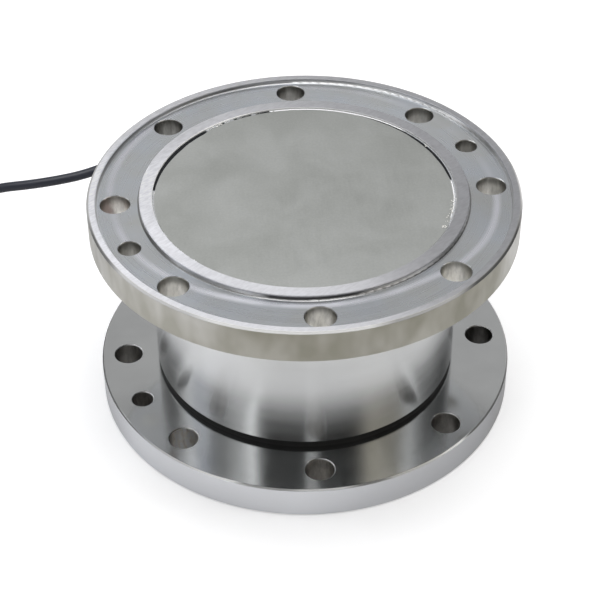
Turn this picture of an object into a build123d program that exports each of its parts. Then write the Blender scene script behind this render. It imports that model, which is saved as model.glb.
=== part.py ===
from build123d import *
from math import cos, pi, radians, sin
import os

# Six-axis force sensor, in millimetres.
# Two bolting flanges are joined by a hidden elastic body. A sleeve hangs from the upper flange around it,
# the signal board lies under a glued cover, and the signal cable ends in a round plug.
# The origin is the centre of the lower flange's bottom face, and +Z is the sensor's axis.

# Flanges and the hole pattern that both share
sensor_height = 110.0
flange_d = 200.0
upper_flange_t = 16.5
lower_flange_t = 16.5
flange_edge_chamfer = 0.8
bolt_edge_distance = 13.0
bolt_count = 8
bolt_hole_d = 13.5
dowel_hole_d = 10.0
dowel_hole_angle = 22.5
hole_edge_chamfer = 0.4

# Top face of the upper flange
rim_w = 4.0
channel_depth = 2.4
channel_root_r = 0.8
ring_inset = 11.0
ring_w = 6.0
land_edge_chamfer = 0.25
cover_t = 2.0
cover_sink = 1.0
cover_gap = 0.4
cover_edge_chamfer = 0.2
cover_bond_h = 1.2
cover_seat_w = 3.0
board_room_h = 6.0

# Housing sleeve, its spigot on the upper flange, and its seals
sleeve_room = 2.5
sleeve_wall = 5.0
sleeve_edge_chamfer = 0.3
gap_seal_h = 3.2
gap_seal_w = 4.2
gap_seal_inset = 0.4
spigot_h = 7.5
spigot_clearance = 0.1
sleeve_oring_t = 2.0
sleeve_oring_squeeze = 0.3

# Elastic body
hub_h = 28.0
hub_bore_inset = 12.0
arm_l = 16.0
arm_w = 12.0
arm_h = 12.0
arm_drop = 10.0
column_circle_d = 110.0
column_t = 10.0
column_w = 22.0
column_count = 4
base_ring_outer_w = 10.0
base_ring_inner_w = 11.0
base_ring_h = 14.0
body_corner_r = 3.0

# Strain gauges, terminals and lead wires
gauge_l = 7.0
gauge_w = 4.0
gauge_t = 0.2
terminal_l = 6.0
terminal_w = 10.0
terminal_h = 1.0
lead_wire_d = 1.8
lead_wire_hole_d = 5.0
lead_wire_circle_d = 100.0
lead_wire_bend_r = 2.5

# Large screws and dowel pins that hold the flanges on the elastic body
body_screw_d = 8.0
body_screw_head_d = 13.0
body_screw_head_h = 8.0
body_screw_key = 6.0
body_screw_hole_d = 9.0
body_screw_count = 8
body_screw_angle = 22.5
body_screw_chamfer = 0.5
upper_screw_inset = 8.0
upper_screw_l = 20.0
lower_screw_l = 20.0
screw_sink = 0.5
counterbore_clearance = 0.5
thread_clearance = 0.05
blind_hole_spare = 0.8
pin_d = 6.0
pin_l = 12.0
pin_clearance = 0.02
pin_chamfer = 0.5

# Signal board
board_margin = 5.0
board_t = 1.6
board_bore_d = 12.0
spacer_h = 2.0
spacer_d = 6.0
small_screw_d = 3.0
small_screw_head_d = 5.5
small_screw_head_h = 1.6
small_screw_key = 2.0
small_screw_chamfer = 0.2
board_screw_inset = 7.0
board_screw_count = 4
board_screw_angle = 67.5
board_screw_l = 8.0
amplifier_circle_d = 76.0
amplifier_count = 6
amplifier_size = (5.0, 6.0, 1.5)
converter_size = (10.0, 10.0, 1.4)
converter_x = 22.0
header_size = (5.0, 12.0, 2.0)

# Bottom cover
bottom_recess_inset = 9.0
bottom_ledge_w = 12.0
bottom_cover_t = 2.5
bottom_cover_sink = 0.5
bottom_cover_clearance = 0.15
bottom_screw_inset = 4.0
bottom_screw_count = 6
bottom_screw_l = 8.0
bottom_screw_cone_d = 5.6
bottom_oring_inset = 3.0
bottom_oring_t = 1.6

# Cable gland, at mid height between two bolt holes
gland_angle = 112.5
gland_above_flange = 39.5
gland_thread_d = 12.0
gland_hex = 16.0
gland_hex_h = 5.0
gland_gasket_t = 1.0
gland_gasket_d = 16.5
gland_spotface_d = 20.0
gland_spotface_depth = 0.05
gland_shank_proud = 1.0
gland_neck_d = 11.0
gland_neck_l = 8.3
gland_seal_d = 8.4
gland_seal_l = 7.0
cap_nut_hex = 15.0
cap_nut_gap = 0.5
cap_nut_side_l = 7.8
cap_nut_dome_l = 4.0
cap_nut_end_t = 1.5
cap_nut_dome_r = 3.0
relief_l = 14.0
relief_root_d = 8.0
relief_tip_d = 6.6
relief_clearance = 0.1

# Cable
cable_d = 5.1
cable_clearance = 0.1
core_bundle_d = 3.4
core_bend_r = 5.0
core_inset = 13.0
core_passage_d = 6.5
jacket_inside = 3.5

# Free route of the cable after its first run out of the gland
first_run = 25.0
route_points = [
    (-71.0, 128.9, 53.0),
    (-102.5, 118.0, 43.3),
    (-132.0, 112.5, 41.5),
    (-163.0, 115.5, 37.6),
    (-187.5, 118.5, 17.8),
    (-208.0, 119.5, 3.45),
    (-228.5, 119.5, 3.45),
]
arc_share = 0.45

# Coil of the put-away length, its ties, and the tail to the plug
coil_mean_r = 27.3
coil_columns = 4
coil_rows = 4
coil_slack = 0.1
coil_stub_l = 21.0
tie_t = 0.8
tie_arc = 12.0
tie_angles = (20.0, 140.0, 260.0)
tail_runs = (16.0, 24.0, 16.0)

# Plug
plug_ring_d = 18.0
plug_ring_l = 17.0
plug_ring_lip_l = 2.0
plug_ring_bore_d = 15.4
plug_journal_d = 13.4
plug_collar_d = 15.0
plug_collar_l = 1.7
plug_nose_d = 12.9
plug_nose_l = 12.5
plug_bore_d = 11.6
plug_back_d = 18.5
plug_back_l = 12.0
plug_back_wall = 1.5
plug_nut_d = 14.0
plug_nut_l = 8.0
plug_relief_l = 16.0
plug_running_clearance = 0.05
plug_side_clearance = 0.3
plug_insert_clearance = 0.05
plug_insert_l = 10.0
plug_pin_d = 1.0
plug_inner_pin_count = 6
plug_inner_pin_circle_d = 4.8
plug_outer_pin_count = 12
plug_outer_pin_circle_d = 9.0
plug_pin_proud = 5.5
plug_pin_sink = 1.0
plug_edge_r = 1.0
plug_knurl_count = 24
plug_knurl_r = 0.6

# Circles that follow from each other, from the flange's edge and from the columns
bolt_circle_d = flange_d - 2 * bolt_edge_distance
ring_d = bolt_circle_d - 2 * ring_inset
cover_bore_d = ring_d - 2 * ring_w
cover_d = cover_bore_d - 2 * cover_gap
board_room_d = cover_bore_d - 2 * cover_seat_w
board_d = board_room_d - 2 * board_margin
board_screw_circle_d = board_d - 2 * board_screw_inset
base_ring_d = column_circle_d + 2 * base_ring_outer_w
base_ring_bore_d = column_circle_d - 2 * base_ring_inner_w
sleeve_bore_d = base_ring_d + 2 * sleeve_room
sleeve_d = sleeve_bore_d + 2 * sleeve_wall
spigot_d = sleeve_bore_d - 2 * spigot_clearance
hub_d = column_circle_d - column_t - 2 * arm_l
upper_screw_circle_d = hub_d - 2 * upper_screw_inset
hub_bore_d = upper_screw_circle_d - 2 * hub_bore_inset
lower_screw_circle_d = column_circle_d
bottom_recess_d = lower_screw_circle_d - 2 * bottom_recess_inset
bottom_screw_circle_d = bottom_recess_d - 2 * bottom_screw_inset
bottom_bore_d = bottom_recess_d - 2 * bottom_ledge_w
bottom_oring_circle_d = bottom_bore_d + 2 * bottom_oring_inset

# Levels and places that follow from the sizes above
upper_flange_z = sensor_height - upper_flange_t
channel_z = sensor_height - channel_depth
cover_top_z = sensor_height - cover_sink
cover_seat_z = cover_top_z - cover_t
board_room_z = cover_seat_z - board_room_h
spigot_z = upper_flange_z - spigot_h
sleeve_z = lower_flange_t + gap_seal_h
base_ring_top_z = lower_flange_t + base_ring_h
arm_top_z = spigot_z - arm_drop
arm_z = arm_top_z - arm_h
arm_mid_r = (hub_d / 2 + (column_circle_d - column_t) / 2) / 2
board_z = board_room_z + spacer_h
board_top_z = board_z + board_t
upper_seat_z = board_room_z - screw_sink - body_screw_head_h
lower_seat_z = screw_sink + body_screw_head_h
bottom_ledge_z = bottom_cover_sink + bottom_cover_t
gland_z = lower_flange_t + gland_above_flange
gland_plane = Plane(
    origin=(0, 0, gland_z),
    x_dir=(-sin(radians(gland_angle)), cos(radians(gland_angle)), 0),
    z_dir=(cos(radians(gland_angle)), sin(radians(gland_angle)), 0),
)
gland_axis = Axis((0, 0, gland_z), gland_plane.z_dir)
spotface_r = (sleeve_d**2 / 4 - gland_spotface_d**2 / 4) ** 0.5 - gland_spotface_depth
core_circle_d = sleeve_bore_d - 2 * core_inset
gland_shank_start = sleeve_bore_d / 2 - gland_shank_proud
jacket_end_from_axis = sleeve_bore_d / 2 - jacket_inside
hex_start = spotface_r + gland_gasket_t
hex_end = hex_start + gland_hex_h
neck_end = hex_end + gland_neck_l
cap_nut_start = hex_end + cap_nut_gap
cap_nut_end = cap_nut_start + cap_nut_side_l + cap_nut_dome_l
relief_end = cap_nut_end + relief_l

# How closely an edge has to match the size that it is chosen by
match = 0.01

os.makedirs("parts", exist_ok=True)


def circles_at(part, radius, height):
    """Circular edges of a part with this radius at this height."""
    edges = part.edges().filter_by(GeomType.CIRCLE)
    return edges.filter_by(
        lambda e: abs(e.radius - radius) < match and abs(e.arc_center.Z - height) < match
    )


def socket_screw(thread_d, head_d, head_h, length, key, edge):
    """Socket head screw standing on its seat: the head above the plane, the shank below it."""
    with BuildPart() as screw:
        Cylinder(head_d / 2, head_h, align=(Align.CENTER, Align.CENTER, Align.MIN))
        chamfer(screw.edges().sort_by(Axis.Z)[-1], length=edge)
        with BuildSketch(Plane.XY.offset(head_h)):
            RegularPolygon(radius=key / 2, side_count=6, major_radius=False)
        extrude(amount=-head_h / 2, mode=Mode.SUBTRACT)
        Cylinder(thread_d / 2, length, align=(Align.CENTER, Align.CENTER, Align.MAX))
        chamfer(screw.edges().sort_by(Axis.Z)[0], length=edge)
    return screw.part


def dowel_pin():
    """Pin standing on its lower end, with both ends broken."""
    with BuildPart() as pin:
        Cylinder(pin_d / 2 - pin_clearance, pin_l, align=(Align.CENTER, Align.CENTER, Align.MIN))
        chamfer(pin.edges().filter_by(GeomType.CIRCLE), length=pin_chamfer)
    return pin.part


def o_ring(circle_d, thickness, height):
    """Rubber ring about the sensor's axis, its centre line at this height."""
    with BuildPart() as ring:
        with BuildSketch(Plane.XZ):
            with Locations((circle_d / 2, height)):
                Circle(thickness / 2)
        revolve(axis=Axis.Z)
    return ring.part


def corner_radii(points):
    """Largest arc at each corner of a route: a share of its shorter run on either side."""
    radii = []
    for before, here, after in zip(points, points[1:], points[2:]):
        run_in = Vector(here) - Vector(before)
        run_out = Vector(after) - Vector(here)
        half_turn = radians(run_in.get_angle(run_out)) / 2
        tangent = arc_share * min(run_in.length, run_out.length)
        radii.append(tangent * cos(half_turn) / sin(half_turn))
    return radii


def cable_tube(points, diameter):
    """Round tube along straight runs that are joined by tangent arcs."""
    radii = corner_radii(points)
    with BuildPart() as tube:
        with BuildLine() as path:
            FilletPolyline(*points, radius=radii)
        with BuildSketch(Plane(origin=path.line @ 0, z_dir=path.line % 0)):
            Circle(diameter / 2)
        sweep(path=path.line)
    length = path.wire().length
    expected = pi * diameter**2 / 4 * length
    print("tube length", round(length, 1), "radii", [round(r, 1) for r in radii])
    print("tube volume over section times length", round(tube.part.volume / expected, 4))
    return tube.part


upper_body_screw = socket_screw(
    body_screw_d, body_screw_head_d, body_screw_head_h, upper_screw_l, body_screw_key, body_screw_chamfer
)
lower_body_screw = socket_screw(
    body_screw_d, body_screw_head_d, body_screw_head_h, lower_screw_l, body_screw_key, body_screw_chamfer
)
body_pin = dowel_pin()

# Upper flange, turned in one piece
with BuildPart() as upper_flange:
    with BuildSketch(Plane.XY.offset(upper_flange_z)):
        Circle(flange_d / 2)
    extrude(amount=upper_flange_t)
    with BuildSketch(Plane.XY.offset(upper_flange_z)):
        Circle(spigot_d / 2)
    extrude(amount=-spigot_h)
    with BuildSketch(Plane.XY.offset(channel_z)):
        Circle(flange_d / 2 - rim_w)
        Circle(ring_d / 2, mode=Mode.SUBTRACT)
    extrude(amount=channel_depth, mode=Mode.SUBTRACT)
    with BuildSketch(Plane.XY.offset(cover_seat_z)):
        Circle(cover_bore_d / 2)
    extrude(amount=cover_t + cover_sink, mode=Mode.SUBTRACT)
    with BuildSketch(Plane.XY.offset(board_room_z)):
        Circle(board_room_d / 2)
    extrude(amount=board_room_h, mode=Mode.SUBTRACT)
    fillet(
        circles_at(upper_flange, flange_d / 2 - rim_w, channel_z)
        + circles_at(upper_flange, ring_d / 2, channel_z),
        radius=channel_root_r,
    )
    chamfer(
        circles_at(upper_flange, flange_d / 2, sensor_height)
        + circles_at(upper_flange, flange_d / 2, upper_flange_z),
        length=flange_edge_chamfer,
    )
    chamfer(
        circles_at(upper_flange, flange_d / 2 - rim_w, sensor_height)
        + circles_at(upper_flange, ring_d / 2, sensor_height)
        + circles_at(upper_flange, cover_bore_d / 2, sensor_height),
        length=land_edge_chamfer,
    )
    # Groove of the sleeve's O-ring
    with BuildSketch(Plane.XY.offset(spigot_z + spigot_h / 2 - sleeve_oring_t / 2)):
        Circle(spigot_d / 2)
        Circle(sleeve_bore_d / 2 - sleeve_oring_t, mode=Mode.SUBTRACT)
    extrude(amount=sleeve_oring_t, mode=Mode.SUBTRACT)
    # Bolt and dowel holes through the channel
    with BuildSketch(Plane.XY.offset(upper_flange_z)):
        with PolarLocations(bolt_circle_d / 2, bolt_count):
            Circle(bolt_hole_d / 2)
        with PolarLocations(bolt_circle_d / 2, 2, start_angle=dowel_hole_angle):
            Circle(dowel_hole_d / 2)
    extrude(amount=upper_flange_t, mode=Mode.SUBTRACT)
    chamfer(
        circles_at(upper_flange, bolt_hole_d / 2, channel_z)
        + circles_at(upper_flange, dowel_hole_d / 2, channel_z)
        + circles_at(upper_flange, bolt_hole_d / 2, upper_flange_z)
        + circles_at(upper_flange, dowel_hole_d / 2, upper_flange_z),
        length=hole_edge_chamfer,
    )
    # Counterbored screw holes into the hub
    with BuildSketch(Plane.XY.offset(upper_seat_z)):
        with PolarLocations(upper_screw_circle_d / 2, body_screw_count, start_angle=body_screw_angle):
            Circle(body_screw_head_d / 2 + counterbore_clearance)
    extrude(amount=board_room_z - upper_seat_z, mode=Mode.SUBTRACT)
    with BuildSketch(Plane.XY.offset(spigot_z)):
        with PolarLocations(upper_screw_circle_d / 2, body_screw_count, start_angle=body_screw_angle):
            Circle(body_screw_hole_d / 2)
        with PolarLocations(lead_wire_circle_d / 2, column_count, start_angle=180 / column_count):
            Circle(lead_wire_hole_d / 2)
        with PolarLocations(core_circle_d / 2, 1, start_angle=gland_angle):
            Circle(core_passage_d / 2)
    extrude(amount=board_room_z - spigot_z, mode=Mode.SUBTRACT)
    # Blind holes of the dowel pins and of the board's screws
    with BuildSketch(Plane.XY.offset(spigot_z)):
        with PolarLocations(upper_screw_circle_d / 2, 2):
            Circle(pin_d / 2)
    extrude(amount=pin_l / 2 + blind_hole_spare / 2, mode=Mode.SUBTRACT)
    with BuildSketch(Plane.XY.offset(board_room_z)):
        with PolarLocations(board_screw_circle_d / 2, board_screw_count, start_angle=board_screw_angle):
            Circle(small_screw_d / 2 + thread_clearance)
    extrude(amount=-(board_screw_l - spacer_h - board_t + blind_hole_spare), mode=Mode.SUBTRACT)
upper_flange.part.label = "upper_flange"

# Cover over the signal board, and the bond line that holds it
with BuildPart() as top_cover:
    with BuildSketch(Plane.XY.offset(cover_seat_z)):
        Circle(cover_d / 2)
    extrude(amount=cover_t)
    chamfer(circles_at(top_cover, cover_d / 2, cover_top_z), length=cover_edge_chamfer)
top_cover.part.label = "top_cover"

with BuildPart() as cover_bond:
    with BuildSketch(Plane.XY.offset(cover_seat_z)):
        Circle(cover_bore_d / 2)
        Circle(cover_d / 2, mode=Mode.SUBTRACT)
    extrude(amount=cover_bond_h)
cover_bond.part.label = "cover_bond"

# Sleeve round the elastic body, with the gland's spotface and hole
with BuildPart() as housing_sleeve:
    with BuildSketch(Plane.XY.offset(sleeve_z)):
        Circle(sleeve_d / 2)
        Circle(sleeve_bore_d / 2, mode=Mode.SUBTRACT)
    extrude(amount=upper_flange_z - sleeve_z)
    chamfer(circles_at(housing_sleeve, sleeve_d / 2, sleeve_z), length=sleeve_edge_chamfer)
    with BuildSketch(gland_plane.offset(spotface_r)):
        Circle(gland_spotface_d / 2)
    extrude(amount=sleeve_wall, mode=Mode.SUBTRACT)
    with BuildSketch(gland_plane):
        Circle(gland_thread_d / 2 + thread_clearance)
    extrude(amount=sleeve_d / 2, mode=Mode.SUBTRACT)
housing_sleeve.part.label = "housing_sleeve"

with BuildPart() as sleeve_oring:
    oring_r = sleeve_oring_t / 2 - sleeve_oring_squeeze / 2
    add(o_ring(sleeve_bore_d - 2 * oring_r - spigot_clearance, 2 * oring_r, spigot_z + spigot_h / 2))
sleeve_oring.part.label = "sleeve_oring"

with BuildPart() as gap_seal:
    with BuildSketch(Plane.XY.offset(lower_flange_t)):
        Circle(sleeve_d / 2 - gap_seal_inset)
        Circle(sleeve_d / 2 - gap_seal_inset - gap_seal_w, mode=Mode.SUBTRACT)
    extrude(amount=gap_seal_h)
gap_seal.part.label = "gap_seal"

# Lower flange
with BuildPart() as lower_flange:
    with BuildSketch():
        Circle(flange_d / 2)
        Circle(bottom_bore_d / 2, mode=Mode.SUBTRACT)
    extrude(amount=lower_flange_t)
    with BuildSketch():
        Circle(bottom_recess_d / 2)
    extrude(amount=bottom_ledge_z, mode=Mode.SUBTRACT)
    chamfer(
        circles_at(lower_flange, flange_d / 2, 0) + circles_at(lower_flange, flange_d / 2, lower_flange_t),
        length=flange_edge_chamfer,
    )
    with BuildSketch():
        with PolarLocations(bolt_circle_d / 2, bolt_count):
            Circle(bolt_hole_d / 2)
        with PolarLocations(bolt_circle_d / 2, 2, start_angle=dowel_hole_angle):
            Circle(dowel_hole_d / 2)
        with PolarLocations(lower_screw_circle_d / 2, body_screw_count, start_angle=body_screw_angle):
            Circle(body_screw_hole_d / 2)
    extrude(amount=lower_flange_t, mode=Mode.SUBTRACT)
    chamfer(
        circles_at(lower_flange, bolt_hole_d / 2, 0)
        + circles_at(lower_flange, dowel_hole_d / 2, 0)
        + circles_at(lower_flange, bolt_hole_d / 2, lower_flange_t)
        + circles_at(lower_flange, dowel_hole_d / 2, lower_flange_t),
        length=hole_edge_chamfer,
    )
    with BuildSketch():
        with PolarLocations(lower_screw_circle_d / 2, body_screw_count, start_angle=body_screw_angle):
            Circle(body_screw_head_d / 2 + counterbore_clearance)
    extrude(amount=lower_seat_z, mode=Mode.SUBTRACT)
    with BuildSketch(Plane.XY.offset(lower_flange_t)):
        with PolarLocations(lower_screw_circle_d / 2, 2):
            Circle(pin_d / 2)
    extrude(amount=-(pin_l / 2 + blind_hole_spare / 2), mode=Mode.SUBTRACT)
    # Groove of the bottom O-ring and threads of the cover's screws
    with BuildSketch(Plane.XY.offset(bottom_ledge_z)):
        Circle(bottom_oring_circle_d / 2 + bottom_oring_t / 2)
        Circle(bottom_oring_circle_d / 2 - bottom_oring_t / 2, mode=Mode.SUBTRACT)
    extrude(amount=bottom_oring_t, mode=Mode.SUBTRACT)
    with BuildSketch(Plane.XY.offset(bottom_ledge_z)):
        with PolarLocations(bottom_screw_circle_d / 2, bottom_screw_count):
            Circle(small_screw_d / 2 + thread_clearance)
    extrude(amount=bottom_screw_l - bottom_cover_t + blind_hole_spare, mode=Mode.SUBTRACT)
lower_flange.part.label = "lower_flange"

# Elastic body: hub, arms, columns and base ring in one piece
with BuildPart() as elastic_body:
    with BuildSketch(Plane.XY.offset(lower_flange_t)):
        Circle(base_ring_d / 2)
        Circle(base_ring_bore_d / 2, mode=Mode.SUBTRACT)
    extrude(amount=base_ring_h)
    with BuildSketch(Plane.XY.offset(base_ring_top_z)):
        with PolarLocations(column_circle_d / 2, column_count):
            Rectangle(column_t, column_w)
    extrude(amount=arm_top_z - base_ring_top_z)
    with BuildSketch(Plane.XY.offset(arm_z)):
        with PolarLocations(column_circle_d / 4, column_count):
            Rectangle(column_circle_d / 2, arm_w)
    extrude(amount=arm_h)
    with BuildSketch(Plane.XY.offset(spigot_z - hub_h)):
        Circle(hub_d / 2)
    extrude(amount=hub_h)
    column_feet = elastic_body.edges().filter_by_position(Axis.Z, base_ring_top_z, base_ring_top_z)
    fillet(column_feet.filter_by(GeomType.LINE), radius=body_corner_r)
    # Upright edges in the corners where the arms meet the hub and the columns
    arm_corners = elastic_body.edges().filter_by(Axis.Z).filter_by(
        lambda e: abs(e.length - arm_h) < match and abs(e.center().Z - arm_z - arm_h / 2) < match
    )
    fillet(arm_corners, radius=body_corner_r)
    with BuildSketch(Plane.XY.offset(spigot_z)):
        Circle(hub_bore_d / 2)
    extrude(amount=-hub_h, mode=Mode.SUBTRACT)
    # Threads of the upper screws, and their dowel holes
    with BuildSketch(Plane.XY.offset(spigot_z)):
        with PolarLocations(upper_screw_circle_d / 2, body_screw_count, start_angle=body_screw_angle):
            Circle(body_screw_d / 2 + thread_clearance)
    extrude(amount=-(upper_screw_l - (upper_seat_z - spigot_z) + blind_hole_spare), mode=Mode.SUBTRACT)
    with BuildSketch(Plane.XY.offset(spigot_z)):
        with PolarLocations(upper_screw_circle_d / 2, 2):
            Circle(pin_d / 2)
    extrude(amount=-pin_l / 2, mode=Mode.SUBTRACT)
    # Threads of the lower screws, and their dowel holes
    with BuildSketch(Plane.XY.offset(lower_flange_t)):
        with PolarLocations(lower_screw_circle_d / 2, body_screw_count, start_angle=body_screw_angle):
            Circle(body_screw_d / 2 + thread_clearance)
    extrude(amount=lower_screw_l - (lower_flange_t - lower_seat_z) + blind_hole_spare, mode=Mode.SUBTRACT)
    with BuildSketch(Plane.XY.offset(lower_flange_t)):
        with PolarLocations(lower_screw_circle_d / 2, 2):
            Circle(pin_d / 2)
    extrude(amount=pin_l / 2, mode=Mode.SUBTRACT)
elastic_body.part.label = "elastic_body"

# Screws and pins that hold the flanges on the elastic body
with BuildPart(Plane.XY.offset(upper_seat_z)) as upper_screws:
    with PolarLocations(upper_screw_circle_d / 2, body_screw_count, start_angle=body_screw_angle):
        add(upper_body_screw)
upper_screws.part.label = "upper_screws"

with BuildPart(Plane((0, 0, lower_seat_z), z_dir=(0, 0, -1))) as lower_screws:
    with PolarLocations(lower_screw_circle_d / 2, body_screw_count, start_angle=body_screw_angle):
        add(lower_body_screw)
lower_screws.part.label = "lower_screws"

with BuildPart(Plane.XY.offset(spigot_z - pin_l / 2)) as upper_dowels:
    with PolarLocations(upper_screw_circle_d / 2, 2):
        add(body_pin)
upper_dowels.part.label = "upper_dowels"

with BuildPart(Plane.XY.offset(lower_flange_t - pin_l / 2)) as lower_dowels:
    with PolarLocations(lower_screw_circle_d / 2, 2):
        add(body_pin)
lower_dowels.part.label = "lower_dowels"

# Strain gauges on all four sides of each arm, and on both broad sides of each column
with BuildPart() as arm_gauges:
    with PolarLocations(0, column_count):
        with Locations((arm_mid_r, 0, arm_top_z)):
            Box(gauge_l, gauge_w, gauge_t, align=(Align.CENTER, Align.CENTER, Align.MIN))
        with Locations((arm_mid_r, 0, arm_z)):
            Box(gauge_l, gauge_w, gauge_t, align=(Align.CENTER, Align.CENTER, Align.MAX))
        with Locations((arm_mid_r, arm_w / 2, arm_z + arm_h / 2)):
            Box(gauge_l, gauge_t, gauge_w, align=(Align.CENTER, Align.MIN, Align.CENTER))
        with Locations((arm_mid_r, -arm_w / 2, arm_z + arm_h / 2)):
            Box(gauge_l, gauge_t, gauge_w, align=(Align.CENTER, Align.MAX, Align.CENTER))
arm_gauges.part.label = "arm_gauges"

with BuildPart() as column_gauges:
    column_mid_z = (base_ring_top_z + arm_z) / 2
    with PolarLocations(0, column_count):
        with Locations(((column_circle_d + column_t) / 2, 0, column_mid_z)):
            Box(gauge_t, gauge_w, gauge_l, align=(Align.MIN, Align.CENTER, Align.CENTER))
        with Locations(((column_circle_d - column_t) / 2, 0, column_mid_z)):
            Box(gauge_t, gauge_w, gauge_l, align=(Align.MAX, Align.CENTER, Align.CENTER))
column_gauges.part.label = "column_gauges"

with BuildPart(Plane.XY.offset(arm_top_z)) as gauge_terminals:
    with PolarLocations(column_circle_d / 2, column_count):
        Box(terminal_l, terminal_w, terminal_h, align=(Align.CENTER, Align.CENTER, Align.MIN))
gauge_terminals.part.label = "gauge_terminals"

# Lead wires: from each terminal, across to a hole in the flange and up to the board
wire_level_z = (arm_top_z + terminal_h + spigot_z) / 2
wire_riser = Vector(lead_wire_circle_d / 2, 0, 0).rotate(Axis.Z, 180 / column_count)
with BuildPart() as lead_wire:
    with BuildLine() as wire_path:
        FilletPolyline(
            (column_circle_d / 2, 0, arm_top_z + terminal_h),
            (column_circle_d / 2, 0, wire_level_z),
            (wire_riser.X, wire_riser.Y, wire_level_z),
            (wire_riser.X, wire_riser.Y, board_z),
            radius=lead_wire_bend_r,
        )
    with BuildSketch(Plane(origin=wire_path.line @ 0, z_dir=wire_path.line % 0)):
        Circle(lead_wire_d / 2)
    sweep(path=wire_path.line)
with BuildPart() as lead_wires:
    with PolarLocations(0, column_count):
        add(lead_wire.part)
lead_wires.part.label = "lead_wires"

# Signal board with its chips, header, spacers and screws
with BuildPart() as signal_board:
    with BuildSketch(Plane.XY.offset(board_z)):
        Circle(board_d / 2)
        Circle(board_bore_d / 2, mode=Mode.SUBTRACT)
        with PolarLocations(board_screw_circle_d / 2, board_screw_count, start_angle=board_screw_angle):
            Circle(small_screw_d / 2 + thread_clearance, mode=Mode.SUBTRACT)
    extrude(amount=board_t)
signal_board.part.label = "signal_board"

with BuildPart(Plane.XY.offset(board_top_z)) as board_chips:
    with PolarLocations(amplifier_circle_d / 2, amplifier_count):
        Box(*amplifier_size, align=(Align.CENTER, Align.CENTER, Align.MIN))
    with PolarLocations(converter_x, 2):
        Box(*converter_size, align=(Align.CENTER, Align.CENTER, Align.MIN))
board_chips.part.label = "board_chips"

with BuildPart(Plane.XY.offset(board_top_z)) as board_header:
    with PolarLocations(core_circle_d / 2 - header_size[0] / 2, 1, start_angle=gland_angle):
        Box(*header_size, align=(Align.CENTER, Align.CENTER, Align.MIN))
board_header.part.label = "board_header"

with BuildPart() as board_spacers:
    with BuildSketch(Plane.XY.offset(board_room_z)):
        with PolarLocations(board_screw_circle_d / 2, board_screw_count, start_angle=board_screw_angle):
            Circle(spacer_d / 2)
            Circle(small_screw_d / 2 + thread_clearance, mode=Mode.SUBTRACT)
    extrude(amount=spacer_h)
board_spacers.part.label = "board_spacers"

board_screw = socket_screw(
    small_screw_d, small_screw_head_d, small_screw_head_h, board_screw_l, small_screw_key, small_screw_chamfer
)
with BuildPart(Plane.XY.offset(board_top_z)) as board_screws:
    with PolarLocations(board_screw_circle_d / 2, board_screw_count, start_angle=board_screw_angle):
        add(board_screw)
board_screws.part.label = "board_screws"

# Bottom cover with countersunk screws and its O-ring
cone_depth = (bottom_screw_cone_d - small_screw_d) / 2
with BuildPart() as bottom_cover:
    with BuildSketch(Plane.XY.offset(bottom_cover_sink)):
        Circle(bottom_recess_d / 2 - bottom_cover_clearance)
        with PolarLocations(bottom_screw_circle_d / 2, bottom_screw_count):
            Circle(small_screw_d / 2 + thread_clearance, mode=Mode.SUBTRACT)
    extrude(amount=bottom_cover_t)
    chamfer(
        circles_at(bottom_cover, small_screw_d / 2 + thread_clearance, bottom_cover_sink),
        length=cone_depth,
    )
bottom_cover.part.label = "bottom_cover"

with BuildPart() as countersunk_screw:
    with BuildSketch(Plane.XZ):
        with BuildLine():
            Polyline(
                (0, 0),
                (bottom_screw_cone_d / 2, 0),
                (small_screw_d / 2, cone_depth),
                (small_screw_d / 2, bottom_screw_l),
                (0, bottom_screw_l),
                close=True,
            )
        make_face()
    revolve(axis=Axis.Z)
    with BuildSketch():
        RegularPolygon(radius=small_screw_key / 2, side_count=6, major_radius=False)
    extrude(amount=cone_depth, mode=Mode.SUBTRACT)
with BuildPart(Plane.XY.offset(bottom_cover_sink)) as bottom_cover_screws:
    with PolarLocations(bottom_screw_circle_d / 2, bottom_screw_count):
        add(countersunk_screw.part)
bottom_cover_screws.part.label = "bottom_cover_screws"

with BuildPart() as bottom_oring:
    add(o_ring(bottom_oring_circle_d, bottom_oring_t, bottom_ledge_z + bottom_oring_t / 2))
bottom_oring.part.label = "bottom_oring"

# Cable gland: everything is measured along its axis from the sensor's axis
with BuildPart() as gland_gasket:
    with BuildSketch(gland_plane.offset(spotface_r)):
        Circle(gland_gasket_d / 2)
        Circle(gland_thread_d / 2 + thread_clearance, mode=Mode.SUBTRACT)
    extrude(amount=gland_gasket_t)
gland_gasket.part.label = "gland_gasket"

with BuildPart() as gland_body:
    with BuildSketch(gland_plane.offset(hex_start)):
        RegularPolygon(radius=gland_hex / 2, side_count=6, major_radius=False)
    extrude(amount=gland_hex_h)
    with BuildSketch(gland_plane.offset(gland_shank_start)):
        Circle(gland_thread_d / 2)
    extrude(amount=hex_start - gland_shank_start)
    with BuildSketch(gland_plane.offset(hex_end)):
        Circle(gland_neck_d / 2)
    extrude(amount=gland_neck_l)
    with BuildSketch(gland_plane.offset(gland_shank_start)):
        Circle(cable_d / 2 + cable_clearance)
    extrude(amount=neck_end, mode=Mode.SUBTRACT)
    with BuildSketch(gland_plane.offset(neck_end)):
        Circle(gland_seal_d / 2 + cable_clearance)
    extrude(amount=-(gland_seal_l - cable_clearance), mode=Mode.SUBTRACT)
gland_body.part.label = "gland_body"

with BuildPart() as gland_seal:
    with BuildSketch(gland_plane.offset(neck_end - gland_seal_l + cable_clearance)):
        Circle(gland_seal_d / 2)
        Circle(cable_d / 2 + cable_clearance, mode=Mode.SUBTRACT)
    extrude(amount=gland_seal_l)
gland_seal.part.label = "gland_seal"

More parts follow.
